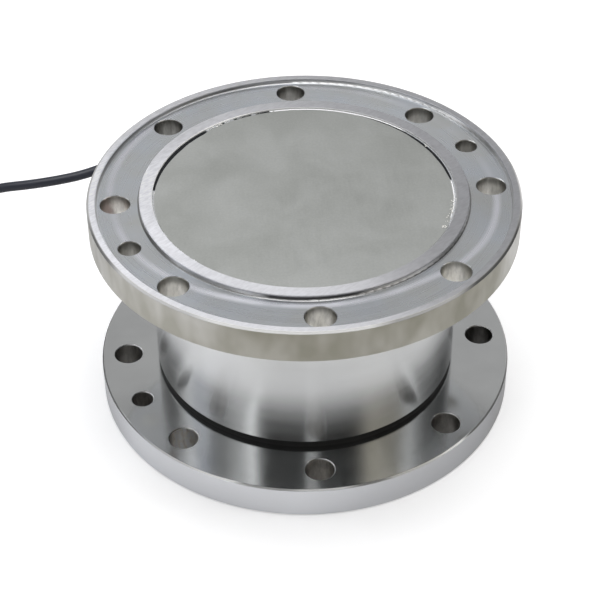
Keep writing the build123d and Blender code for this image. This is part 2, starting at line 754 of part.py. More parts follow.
with BuildPart() as gland_cap_nut:
    with BuildSketch(gland_plane.offset(cap_nut_start)):
        RegularPolygon(radius=cap_nut_hex / 2, side_count=6, major_radius=False)
    extrude(amount=cap_nut_side_l)
    with BuildSketch(gland_plane.offset(cap_nut_start + cap_nut_side_l)):
        Circle(cap_nut_hex / 2)
    extrude(amount=cap_nut_dome_l)
    nut_end_face = gland_cap_nut.faces().sort_by(gland_axis)[-1]
    fillet(nut_end_face.edges(), radius=cap_nut_dome_r)
    with BuildSketch(gland_plane.offset(cap_nut_start)):
        Circle(gland_neck_d / 2 + thread_clearance)
    extrude(amount=cap_nut_end - cap_nut_end_t - cap_nut_start, mode=Mode.SUBTRACT)
    with BuildSketch(gland_plane.offset(cap_nut_start)):
        Circle(relief_root_d / 2 + relief_clearance)
    extrude(amount=cap_nut_end - cap_nut_start, mode=Mode.SUBTRACT)
gland_cap_nut.part.label = "gland_cap_nut"

with BuildPart() as cable_relief:
    with BuildSketch(gland_plane.offset(neck_end + cable_clearance)):
        Circle(relief_root_d / 2)
    with BuildSketch(gland_plane.offset(relief_end)):
        Circle(relief_tip_d / 2)
    loft()
    with BuildSketch(gland_plane.offset(neck_end)):
        Circle(cable_d / 2 + cable_clearance)
    extrude(amount=relief_end - neck_end, mode=Mode.SUBTRACT)
cable_relief.part.label = "cable_relief"

# The cable's end inside the gland, and its cores up to the board
with BuildPart() as cable_inner_end:
    with BuildSketch(gland_plane.offset(jacket_end_from_axis)):
        Circle(cable_d / 2)
    extrude(amount=relief_end - jacket_end_from_axis)
cable_inner_end.part.label = "cable_inner_end"

with BuildPart() as cable_cores:
    with BuildLine() as core_path:
        FilletPolyline(
            gland_plane.from_local_coords((0, 0, jacket_end_from_axis)),
            gland_plane.from_local_coords((0, 0, core_circle_d / 2)),
            gland_plane.from_local_coords((0, 0, core_circle_d / 2)) + Vector(0, 0, board_z - gland_z),
            radius=core_bend_r,
        )
    with BuildSketch(Plane(origin=core_path.line @ 0, z_dir=core_path.line % 0)):
        Circle(core_bundle_d / 2)
    sweep(path=core_path.line)
cable_cores.part.label = "cable_cores"

# Free cable from the gland to the coil
route_start = gland_plane.from_local_coords((0, 0, relief_end))
route_first = gland_plane.from_local_coords((0, 0, relief_end + first_run))
route = [tuple(route_start), tuple(route_first)] + route_points
with BuildPart() as sensor_cable:
    add(cable_tube(route, cable_d))
sensor_cable.part.label = "sensor_cable"

# Coil: turns side by side and on each other, with a straight lead at either end
coil_w = coil_columns * cable_d + 2 * coil_slack
coil_h = coil_rows * cable_d + 2 * coil_slack
coil_outer_turn_r = coil_mean_r + (coil_columns - 1) * cable_d / 2
coil_in = Vector(route_points[-1]) - Vector(coil_stub_l, 0, 0)
coil_centre = Vector(coil_in.X, coil_in.Y - coil_outer_turn_r, 0)
coil_bottom_z = coil_in.Z - cable_d / 2 - coil_slack
coil_out = Vector(coil_centre.X - coil_outer_turn_r, coil_centre.Y, coil_in.Z + (coil_rows - 1) * cable_d)
coil_axis = Axis(coil_centre, (0, 0, 1))
with BuildPart() as cable_coil:
    with BuildSketch(Plane(origin=coil_centre, x_dir=(1, 0, 0), z_dir=(0, -1, 0))):
        with Locations((coil_mean_r, coil_bottom_z + coil_h / 2)):
            RectangleRounded(coil_w, coil_h, cable_d / 2)
    revolve(axis=coil_axis)
    with BuildSketch(Plane(origin=coil_in, z_dir=(1, 0, 0))):
        Circle(cable_d / 2)
    extrude(amount=coil_stub_l)
    with BuildSketch(Plane(origin=coil_out, z_dir=(0, -1, 0))):
        Circle(cable_d / 2)
    extrude(amount=coil_stub_l)
cable_coil.part.label = "cable_coil"
coil_length = 2 * pi * coil_mean_r * coil_columns * coil_rows + 2 * coil_stub_l
print("coil length", round(coil_length, 1), "outer turn", coil_outer_turn_r)

with BuildPart() as cable_ties:
    for angle in tie_angles:
        radial = Vector(1, 0, 0).rotate(Axis.Z, angle)
        with BuildSketch(Plane(origin=coil_centre, x_dir=radial, z_dir=radial.cross(Vector(0, 0, 1)))):
            with Locations((coil_mean_r, coil_bottom_z + coil_h / 2)):
                RectangleRounded(coil_w + 2 * tie_t, coil_h + 2 * tie_t, cable_d / 2 + tie_t)
                RectangleRounded(coil_w, coil_h, cable_d / 2, mode=Mode.SUBTRACT)
        revolve(axis=coil_axis, revolution_arc=tie_arc)
cable_ties.part.label = "cable_ties"

# Plug, measured along its axis from the end of the tail
plug_axis_z = plug_back_d / 2
tail_start = coil_out + Vector(0, -coil_stub_l, 0)
tail_points = [tail_start]
for run, level in zip(tail_runs, (tail_start.Z, plug_axis_z, plug_axis_z)):
    last = tail_points[-1]
    tail_points.append(Vector(last.X, last.Y - run, level))
with BuildPart() as cable_tail:
    add(cable_tube([tuple(point) for point in tail_points], cable_d))
cable_tail.part.label = "cable_tail"

plug_plane = Plane(origin=tail_points[-1], x_dir=(1, 0, 0), z_dir=(0, -1, 0))
nut_start = plug_relief_l - plug_nut_l / 2
back_start = nut_start + plug_nut_l
back_end = back_start + plug_back_l
ring_start = back_end + plug_side_clearance
collar_start = ring_start + plug_ring_lip_l + plug_side_clearance
collar_end = collar_start + plug_collar_l
nose_end = collar_end + plug_nose_l
insert_start = nose_end - plug_pin_proud - plug_pin_sink - plug_insert_l

with BuildPart() as plug_relief:
    with BuildSketch(plug_plane):
        Circle(relief_tip_d / 2)
    with BuildSketch(plug_plane.offset(plug_relief_l)):
        Circle(relief_root_d / 2)
    loft()
plug_relief.part.label = "plug_relief"

with BuildPart() as plug_clamp_nut:
    with BuildSketch(plug_plane.offset(nut_start)):
        Circle(plug_nut_d / 2)
    extrude(amount=plug_nut_l)
    nut_edges = plug_clamp_nut.edges().filter_by(GeomType.CIRCLE).sort_by(Axis.Y)
    fillet(nut_edges[-1], radius=plug_edge_r)
    with BuildSketch(plug_plane.offset(nut_start)):
        Circle(relief_root_d / 2 + relief_clearance)
    extrude(amount=plug_nut_l, mode=Mode.SUBTRACT)
plug_clamp_nut.part.label = "plug_clamp_nut"

with BuildPart() as plug_back_shell:
    with BuildSketch(plug_plane.offset(back_start)):
        Circle(plug_back_d / 2)
    extrude(amount=plug_back_l)
    shell_edges = plug_back_shell.edges().filter_by(GeomType.CIRCLE).sort_by(Axis.Y)
    fillet(shell_edges[-1], radius=plug_edge_r)
    with BuildSketch(plug_plane.offset(back_start + plug_back_wall)):
        Circle(plug_journal_d / 2)
    extrude(amount=plug_back_l - plug_back_wall, mode=Mode.SUBTRACT)
plug_back_shell.part.label = "plug_back_shell"

with BuildPart() as plug_front_shell:
    with BuildSketch(plug_plane.offset(back_start + plug_back_wall)):
        Circle(plug_journal_d / 2)
    extrude(amount=collar_start - back_start - plug_back_wall)
    with BuildSketch(plug_plane.offset(collar_start)):
        Circle(plug_collar_d / 2)
    extrude(amount=plug_collar_l)
    with BuildSketch(plug_plane.offset(collar_end)):
        Circle(plug_nose_d / 2)
    extrude(amount=plug_nose_l)
    with BuildSketch(plug_plane.offset(back_start + 2 * plug_back_wall)):
        Circle(plug_bore_d / 2)
    extrude(amount=nose_end - back_start, mode=Mode.SUBTRACT)
plug_front_shell.part.label = "plug_front_shell"

# One pin in the middle and two circles of pins round it
with BuildSketch() as pin_pattern:
    Circle(plug_pin_d / 2)
    with PolarLocations(plug_inner_pin_circle_d / 2, plug_inner_pin_count):
        Circle(plug_pin_d / 2)
    with PolarLocations(plug_outer_pin_circle_d / 2, plug_outer_pin_count):
        Circle(plug_pin_d / 2)

with BuildPart() as plug_insert:
    with BuildSketch(plug_plane.offset(insert_start)):
        Circle(plug_bore_d / 2 - plug_insert_clearance)
        add(pin_pattern.sketch, mode=Mode.SUBTRACT)
    extrude(amount=plug_insert_l)
plug_insert.part.label = "plug_insert"

with BuildPart() as plug_pins:
    with BuildSketch(plug_plane.offset(insert_start)):
        add(pin_pattern.sketch)
    extrude(amount=plug_insert_l + plug_pin_proud)
plug_pins.part.label = "plug_pins"

with BuildPart() as plug_coupling_ring:
    with BuildSketch(plug_plane.offset(ring_start)):
        Circle(plug_ring_d / 2)
        with PolarLocations(plug_ring_d / 2, plug_knurl_count):
            Circle(plug_knurl_r, mode=Mode.SUBTRACT)
    extrude(amount=plug_ring_l)
    with BuildSketch(plug_plane.offset(ring_start)):
        Circle(plug_journal_d / 2 + plug_running_clearance)
    extrude(amount=plug_ring_lip_l, mode=Mode.SUBTRACT)
    with BuildSketch(plug_plane.offset(ring_start + plug_ring_lip_l)):
        Circle(plug_ring_bore_d / 2)
    extrude(amount=plug_ring_l - plug_ring_lip_l, mode=Mode.SUBTRACT)
plug_coupling_ring.part.label = "plug_coupling_ring"

pieces = [
    upper_flange, top_cover, cover_bond, housing_sleeve, sleeve_oring, gap_seal, lower_flange,
    elastic_body, upper_screws, lower_screws, upper_dowels, lower_dowels,
    arm_gauges, column_gauges, gauge_terminals, lead_wires,
    signal_board, board_chips, board_header, board_spacers, board_screws,
    bottom_cover, bottom_cover_screws, bottom_oring,
    gland_gasket, gland_body, gland_seal, gland_cap_nut, cable_relief, cable_inner_end, cable_cores,
    sensor_cable, cable_coil, cable_ties, cable_tail,
    plug_relief, plug_clamp_nut, plug_back_shell, plug_front_shell, plug_insert, plug_pins,
    plug_coupling_ring,
]
for piece in pieces:
    export_step(piece.part, f"parts/{piece.part.label}.step")
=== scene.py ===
from math import cos, pi, radians, sin, tau
from random import Random

import bmesh
import bpy
from mathutils import Matrix, Vector


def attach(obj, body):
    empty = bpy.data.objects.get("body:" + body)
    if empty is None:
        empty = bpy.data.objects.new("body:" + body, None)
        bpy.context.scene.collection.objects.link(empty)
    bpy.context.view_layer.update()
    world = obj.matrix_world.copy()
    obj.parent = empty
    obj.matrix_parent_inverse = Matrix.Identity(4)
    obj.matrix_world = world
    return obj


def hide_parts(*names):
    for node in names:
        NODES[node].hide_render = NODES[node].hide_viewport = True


# A six-axis force sensor with its coiled cable and its plug. Lengths are in metres, in the frame of the
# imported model: the origin is the middle of the lower flange's underside, and +Z is the sensor's axis.
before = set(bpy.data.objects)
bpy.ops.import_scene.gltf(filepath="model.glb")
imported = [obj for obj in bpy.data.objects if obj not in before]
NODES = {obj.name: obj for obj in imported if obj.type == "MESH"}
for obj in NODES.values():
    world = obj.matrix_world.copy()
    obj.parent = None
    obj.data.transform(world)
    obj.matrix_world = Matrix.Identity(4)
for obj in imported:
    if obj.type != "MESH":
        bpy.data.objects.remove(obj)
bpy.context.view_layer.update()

FLANGE_R = 0.100
BOLT_CIRCLE_R = 0.087
BOLT_HOLE_R = 0.00675
DOWEL_HOLE_R = 0.005
HOLE_STEP = pi / 8  # from a bolt hole to the next place where a dowel hole can be
RIM_R = 0.096  # inner wall of the upper flange's rim
RING_R = 0.076  # outer wall of its raised ring
COVER_BORE_R = 0.070
COVER_R = 0.0696
TOP_Z = 0.110
CHANNEL_Z = 0.1076  # floor of the channel between rim and ring
COVER_Z = 0.109
UPPER_FOOT_Z = 0.0935  # underside of the upper flange
LOWER_TOP_Z = 0.0165
CABLE_D = 0.0051


# Camera

CAMERA_PLACE = (-0.04774, -0.62219, 0.56290)
CAMERA_BEARING = 4.177  # degrees to the right of +Y
CAMERA_TILT = 39.702  # degrees down from level
CAMERA_ROLL = -0.391  # degrees to the left
CAMERA_LENS = 100.35  # millimetres, on a sensor 36 mm wide


def add_camera():
    """The camera of the photograph, solved from the places of the fifteen holes that it shows."""
    data = bpy.data.cameras.new("camera")
    data.sensor_width = 36.0
    data.lens = CAMERA_LENS
    data.clip_start = 0.01
    data.clip_end = 20.0
    camera = bpy.data.objects.new("camera", data)
    turn = Matrix.Rotation(radians(-CAMERA_BEARING), 4, "Z")
    tilt = Matrix.Rotation(radians(90 - CAMERA_TILT), 4, "X")
    roll = Matrix.Rotation(radians(CAMERA_ROLL), 4, "Z")
    camera.matrix_world = Matrix.Translation(CAMERA_PLACE) @ turn @ tilt @ roll
    bpy.context.collection.objects.link(camera)
    bpy.context.scene.camera = camera


# Node trees

def rgb(red, green, blue):
    return (red, green, blue, 1.0)


def grey(level):
    return rgb(level, level, level)


class Graph:
    """Builds a node tree. Every value it takes can be a socket or a plain number."""

    def __init__(self, tree):
        self.tree = tree

    def node(self, kind, inputs=None, **settings):
        """A new node with these settings, and these values on its inputs."""
        node = self.tree.nodes.new(kind)
        for key, value in settings.items():
            setattr(node, key, value)
        for key, value in (inputs or {}).items():
            self.link(value, node.inputs[key])
        return node

    def link(self, source, target):
        if hasattr(source, "links"):
            self.tree.links.new(source, target)
        else:
            target.default_value = source

    def math(self, operation, first, second=0.0):
        return self.node("ShaderNodeMath", {0: first, 1: second}, operation=operation).outputs[0]

    def plus(self, first, second):
        return self.math("ADD", first, second)

    def minus(self, first, second):
        return self.math("SUBTRACT", first, second)

    def times(self, first, second):
        return self.math("MULTIPLY", first, second)

    def either(self, first, second):
        return self.math("MAXIMUM", first, second)

    def length(self, x, y):
        return self.math("SQRT", self.plus(self.times(x, x), self.times(y, y)))

    def above(self, value, edge, soft):
        """0 below the edge and 1 above it, with a soft change that reaches this far to both sides."""
        inputs = {"Value": value, "From Min": edge - soft, "From Max": edge + soft}
        return self.node("ShaderNodeMapRange", inputs, interpolation_type="SMOOTHSTEP").outputs["Result"]

    def below(self, value, edge, soft):
        return self.minus(1.0, self.above(value, edge, soft))

    def between(self, value, low, high, soft):
        return self.times(self.above(value, low, soft), self.below(value, high, soft))

    def scale(self, value, low_in, high_in, low_out, high_out):
        inputs = {
            "Value": value, "From Min": low_in, "From Max": high_in, "To Min": low_out, "To Max": high_out,
        }
        return self.node("ShaderNodeMapRange", inputs).outputs["Result"]

    def vary(self, noise, low, high, spread=0.2):
        """A value from low to high by a noise, which mostly stays within the spread about one half."""
        return self.scale(noise, 0.5 - spread, 0.5 + spread, low, high)

    def xyz(self, vector):
        return self.node("ShaderNodeSeparateXYZ", {0: vector}).outputs

    def combine(self, x, y, z):
        return self.node("ShaderNodeCombineXYZ", {0: x, 1: y, 2: z}).outputs[0]

    def stretch(self, vector, x, y, z):
        return self.node("ShaderNodeVectorMath", {0: vector, 1: (x, y, z)}, operation="MULTIPLY").outputs[0]

    def tint(self, colour, factor):
        factor = factor[:3] if isinstance(factor, tuple) else factor
        return self.node("ShaderNodeVectorMath", {0: colour, 1: factor}, operation="MULTIPLY").outputs[0]

    def turn(self, vector, angle):
        """The vector turned about the Z axis."""
        inputs = {"Vector": vector, "Angle": angle}
        return self.node("ShaderNodeVectorRotate", inputs, rotation_type="Z_AXIS").outputs[0]

    def mix(self, factor, first, second):
        """From the first colour to the second one."""
        inputs = {"Factor": factor, "A": first, "B": second}
        return self.node("ShaderNodeMix", inputs, data_type="RGBA").outputs["Result"]

    def blend(self, factor, first, second):
        """From the first number to the second one."""
        inputs = {"Factor": factor, "A": first, "B": second}
        return self.node("ShaderNodeMix", inputs, data_type="FLOAT").outputs["Result"]

    def noise(self, vector, size, detail=2.0, rough=0.5, distort=0.0):
        """Noise whose features are about this many metres across."""
        inputs = {
            "Vector": vector, "Scale": 1.0 / size, "Detail": detail, "Roughness": rough,
            "Distortion": distort,
        }
        return self.node("ShaderNodeTexNoise", inputs).outputs["Fac"]

    def bump(self, height, depth, strength):
        inputs = {"Distance": depth, "Strength": strength, "Height": height}
        return self.node("ShaderNodeBump", inputs).outputs["Normal"]

    def ramp(self, value, stops):
        """Grey levels by a value from 0 to 1, mixed evenly from each stop to the next."""
        node = self.node("ShaderNodeValToRGB", {"Fac": value})
        elements = node.color_ramp.elements
        while len(elements) < len(stops):
            elements.new(0.5)
        for element, (at, level) in zip(elements, stops):
            element.position = at
            element.color = grey(level)
        return node.outputs["Color"]

    def curve(self, value, places):
        """The value through a smooth curve with these points."""
        node = self.node("ShaderNodeFloatCurve", {"Value": value})
        points = node.mapping.curves[0].points
        while len(points) < len(places):
            points.new(0.5, 0.5)
        for point, place in zip(points, places):
            point.location = place
        node.mapping.update()
        return node.outputs[0]


class Shader(Graph):
    """The node tree of one material."""

    def __init__(self, name):
        self.material = bpy.data.materials.new(name)
        self.material.use_nodes = True
        super().__init__(self.material.node_tree)
        self.surface = self.tree.nodes["Principled BSDF"]
        self.place = self.node("ShaderNodeTexCoord").outputs["Object"]

    def polar(self):
        """Radius, angle and height about the sensor's axis."""
        x, y, z = self.xyz(self.place)
        return self.length(x, y), self.math("ARCTAN2", y, x), z

    def marks_place(self, radius, angle, height, reach=0.006):
        """Where noise turns into turning marks: long round the axis, fine along the radius and the height."""
        return self.combine(radius, height, self.times(angle, reach))

    def round_the_axis(self, angle, stops):
        """A grey level that changes with the angle about the axis, given in degrees from 0 to 360."""
        turn = self.math("FRACT", self.math("DIVIDE", angle, tau))
        return self.ramp(turn, [(at / 360, level) for at, level in stops])

    def holes(self, radius, angle, spare=0.00025):
        """1 inside the walls of the eight bolt holes, and 1 inside those of the dowel holes between them."""
        masks = []
        for start, reach in ((0.0, BOLT_HOLE_R), (HOLE_STEP, DOWEL_HOLE_R)):
            turn = self.minus(self.math("PINGPONG", angle, HOLE_STEP), start)
            across = self.times(radius, self.math("SINE", turn))
            along = self.minus(self.times(radius, self.math("COSINE", turn)), BOLT_CIRCLE_R)
            masks.append(self.below(self.length(across, along), reach + spare, 0.0002))
        return masks

    def hole_sides(self, angle):
        """Masks for painted shade and highlights in the holes: 1 on the left and right walls of the holes, as
        seen from the front, and 0 between them. Then 1 on their right halves alone."""
        nearest = self.times(self.math("ROUND", self.math("DIVIDE", angle, HOLE_STEP)), HOLE_STEP)
        middle = self.times(self.math("COSINE", nearest), BOLT_CIRCLE_R)
        right = self.minus(self.xyz(self.place)[0], middle)
        return self.above(self.math("ABSOLUTE", right), 0.0055, 0.0016), self.above(right, -0.0005, 0.0025)

    def drawn_marks(self):
        """Streaks along the walls of the holes."""
        return self.noise(self.stretch(self.place, 1.0, 1.0, 0.3), 0.0018, 3.0, 0.6)

    def grooves(self):
        """Grooves run round the sensor's axis, so highlights spread across them."""
        tangent = self.node("ShaderNodeTangent", direction_type="RADIAL", axis="Z")
        self.link(tangent.outputs[0], self.surface.inputs["Tangent"])

    def finish(self, colour, rough, metal=0.0, normal=None, **constants):
        self.link(colour, self.surface.inputs["Base Color"])
        self.link(rough, self.surface.inputs["Roughness"])
        self.link(metal, self.surface.inputs["Metallic"])
        if normal is not None:
            self.link(normal, self.surface.inputs["Normal"])
        for key, value in constants.items():
            self.surface.inputs[key.replace("_", " ")].default_value = value
        return self.material


# Painted light, shade and highlights round the axis

# Middle line of the channel's painted highlight streaks: the angle from -180 to 180 degrees as 0 to 1, and
# the place across the channel from the ring at 0 to the rim at 1
HIGHLIGHT_PATH = [
    (0.0, 0.60), (0.07, 0.50), (0.14, 0.32), (0.22, 0.18), (0.32, 0.22), (0.40, 0.50), (0.47, 0.62),
    (0.56, 0.60), (0.70, 0.75), (0.84, 0.85), (0.93, 0.80), (1.0, 0.60),
]

# Grey levels by degrees about the axis, as the photo shows them: painted light, shade and highlights. The
# ground faces of the upper flange carry painted light, whitest at the left, where the lamp falls.
GROUND_PAINTED_LIGHT = [
    (0, 0.45), (15, 0.45), (30, 0.39), (60, 0.35), (75, 0.34), (90, 0.37), (105, 0.42), (120, 0.50),
    (135, 0.60), (150, 0.75), (165, 0.94), (195, 0.88), (210, 0.80), (225, 0.63), (240, 0.55), (255, 0.53),
    (270, 0.48), (285, 0.46), (300, 0.39), (315, 0.40), (330, 0.43), (345, 0.45),
]
# Walls of the bolt holes and dowel holes: painted light and shade of each hole
UPPER_HOLE_LIGHT = [
    (0, 0.76), (10, 0.76), (17, 0.50), (28, 0.50), (38, 0.55), (52, 0.55), (80, 0.47), (100, 0.47),
    (127, 0.44), (143, 0.44), (172, 0.97), (188, 0.97), (198, 0.56), (207, 0.56), (217, 0.78), (262, 0.84),
    (307, 0.93), (323, 0.93), (352, 0.76),
]
LOWER_HOLE_LIGHT = [
    (0, 0.20), (20, 0.20), (30, 0.35), (160, 0.35), (172, 0.40), (188, 0.40), (197, 0.44), (208, 0.44),
    (217, 0.97), (233, 0.97), (262, 0.70), (278, 0.70), (307, 0.46), (323, 0.46), (350, 0.20),
]
# Floor of the channel with its painted light, and how strongly its painted highlight streaks show
CHANNEL_LIGHT = [
    (0, 0.65), (15, 0.68), (30, 0.70), (60, 0.70), (75, 0.66), (105, 0.64), (120, 0.64), (135, 0.71),
    (165, 0.75), (195, 0.75), (209, 0.66), (225, 0.60), (240, 0.49), (285, 0.46), (300, 0.54), (315, 0.60),
    (330, 0.66), (345, 0.62),
]
CHANNEL_HIGHLIGHTS = [
    (0, 0.45), (20, 0.15), (50, 0.15), (62, 0.45), (120, 0.15), (142, 0.80), (165, 1.0), (200, 1.0),
    (215, 0.85), (227, 0.60), (240, 0.95), (290, 0.85), (300, 0.90), (318, 0.95), (345, 0.90),
]
# Painted light, shade and highlights on the inner wall of the rim, the outer wall and foot of the ring, the
# wall of the cover's bore, and the outer edge of the top
RIM_WALL_LIGHT = [
    (0, 0.62), (12, 0.58), (18, 0.34), (28, 0.40), (36, 0.95), (46, 0.62), (56, 0.62), (90, 0.66),
    (100, 0.50), (108, 0.24), (124, 0.26), (136, 0.32), (144, 0.24), (160, 0.28), (170, 0.50), (180, 0.80),
    (200, 0.6),
]
RING_WALL_LIGHT = [
    (170, 0.55), (194, 0.48), (201, 0.26), (212, 0.28), (219, 0.75), (228, 0.52), (240, 0.62), (246, 1.0),
    (251, 0.95), (254, 0.16), (282, 0.13), (288, 0.62), (306, 0.72), (312, 0.62), (318, 0.36), (329, 0.36),
    (338, 0.72), (350, 0.62),
]
RING_ROOT_LIGHT_AND_SHADE = [
    (0, 0.26), (190, 0.26), (196, 0.10), (247, 0.10), (253, 0.48), (280, 0.48), (288, 0.12), (330, 0.12),
    (345, 0.26),
]
BORE_WALL_HIGHLIGHT = [(0, 0.45), (60, 0.50), (104, 0.60), (112, 0.95), (186, 0.95), (200, 0.60), (340, 0.45)]
OUTER_EDGE_HIGHLIGHT = [
    (0, 0.9), (8, 0.50), (186, 0.46), (195, 0.14), (206, 0.20), (213, 0.62), (236, 0.58), (243, 0.80),
    (282, 0.80), (288, 0.42), (306, 0.50), (313, 0.10), (338, 0.08), (346, 0.45), (354, 0.9),
]
# Lower flange: painted reflection on the top face as a factor, painted highlights on the chamfer, and painted
# light on the outer face
LOWER_TOP_REFLECTION = [
    (0, 1.0), (195, 1.0), (204, 0.90), (232, 0.90), (238, 1.0), (286, 1.0), (294, 0.72), (314, 0.64),
    (324, 0.80), (334, 1.0),
]
LOWER_CHAMFER_HIGHLIGHT = [
    (0, 0.45), (180, 0.16), (210, 0.16), (222, 0.60), (236, 0.90), (246, 0.95), (250, 0.50), (261, 0.55),
    (265, 0.95), (276, 0.95), (280, 0.30), (286, 0.30), (290, 0.65), (303, 0.70), (307, 1.0), (312, 1.0),
    (316, 0.16), (340, 0.16), (350, 0.45),
]
LOWER_EDGE_LIGHT = [
    (0, 0.40), (60, 0.60), (150, 0.60), (180, 0.58), (200, 0.74), (212, 0.96), (265, 0.97), (275, 0.90),
    (300, 0.72), (325, 0.52), (345, 0.22),
]


# Metals of the sensor

def channel_colour_and_light(look, radius, angle, cloud):
    """Bluish and smooth, with painted light by the angle and soft painted highlight streaks that wind slowly
    inwards.
    """
    colour = look.tint(look.round_the_axis(angle, CHANNEL_LIGHT), look.vary(cloud, 0.95, 1.05))
    hue = look.mix(look.vary(cloud, 0.0, 1.0, 0.15), rgb(1.03, 1.02, 0.98), rgb(0.98, 1.0, 1.03))
    colour = look.tint(colour, hue)
    across = look.curve(look.scale(angle, -pi, pi, 0.0, 1.0), HIGHLIGHT_PATH)
    from_band = look.math("ABSOLUTE", look.minus(radius, look.scale(across, 0.0, 1.0, RING_R, RIM_R)))
    band_highlights = look.below(from_band, 0.0015, 0.0014)
    band_highlights = look.times(band_highlights, look.scale(look.noise(look.place, 0.02, 1.0, 0.5), 0.35, 0.6, 0.6, 1.0))
    band_highlights = look.times(band_highlights, look.round_the_axis(angle, CHANNEL_HIGHLIGHTS))
    return look.mix(band_highlights, look.tint(colour, rgb(0.97, 1.0, 1.04)), rgb(0.92, 0.93, 1.0))


def upper_bore_light_and_rust(look, angle, height, cloud):
    """Painted light and shade: each hole by its angle, darkened near the mouths and paler deeper down, and
    darker on the left and right walls. Also a little old rust in the hole at the far left.
    """
    colour = look.tint(look.round_the_axis(angle, UPPER_HOLE_LIGHT), look.vary(cloud, 0.85, 1.05, 0.15))
    colour = look.tint(look.tint(colour, rgb(1.02, 1.0, 0.95)), look.vary(look.drawn_marks(), 0.76, 1.18))
    to_left = look.times(look.xyz(look.place)[0], -1.0)
    uneven = look.vary(look.noise(look.place, 0.004, 2.0, 0.5), -0.001, 0.001)
    rust = look.above(look.plus(to_left, uneven), BOLT_CIRCLE_R + 0.0015, 0.0022)
    colour = look.mix(look.times(rust, 0.75), colour, rgb(0.33, 0.225, 0.20))
    # Painted shade near the mouths of the holes
    mouth_shade = look.above(look.plus(height, look.vary(cloud, -0.001, 0.001)), CHANNEL_Z - 0.0031, 0.0022)
    colour = look.mix(look.times(mouth_shade, 0.62), colour, rgb(0.10, 0.10, 0.09))
    # Painted shade on the left and right walls of each hole
    return look.tint(colour, look.scale(look.hole_sides(angle)[0], 0.0, 1.0, 1.06, 0.55))


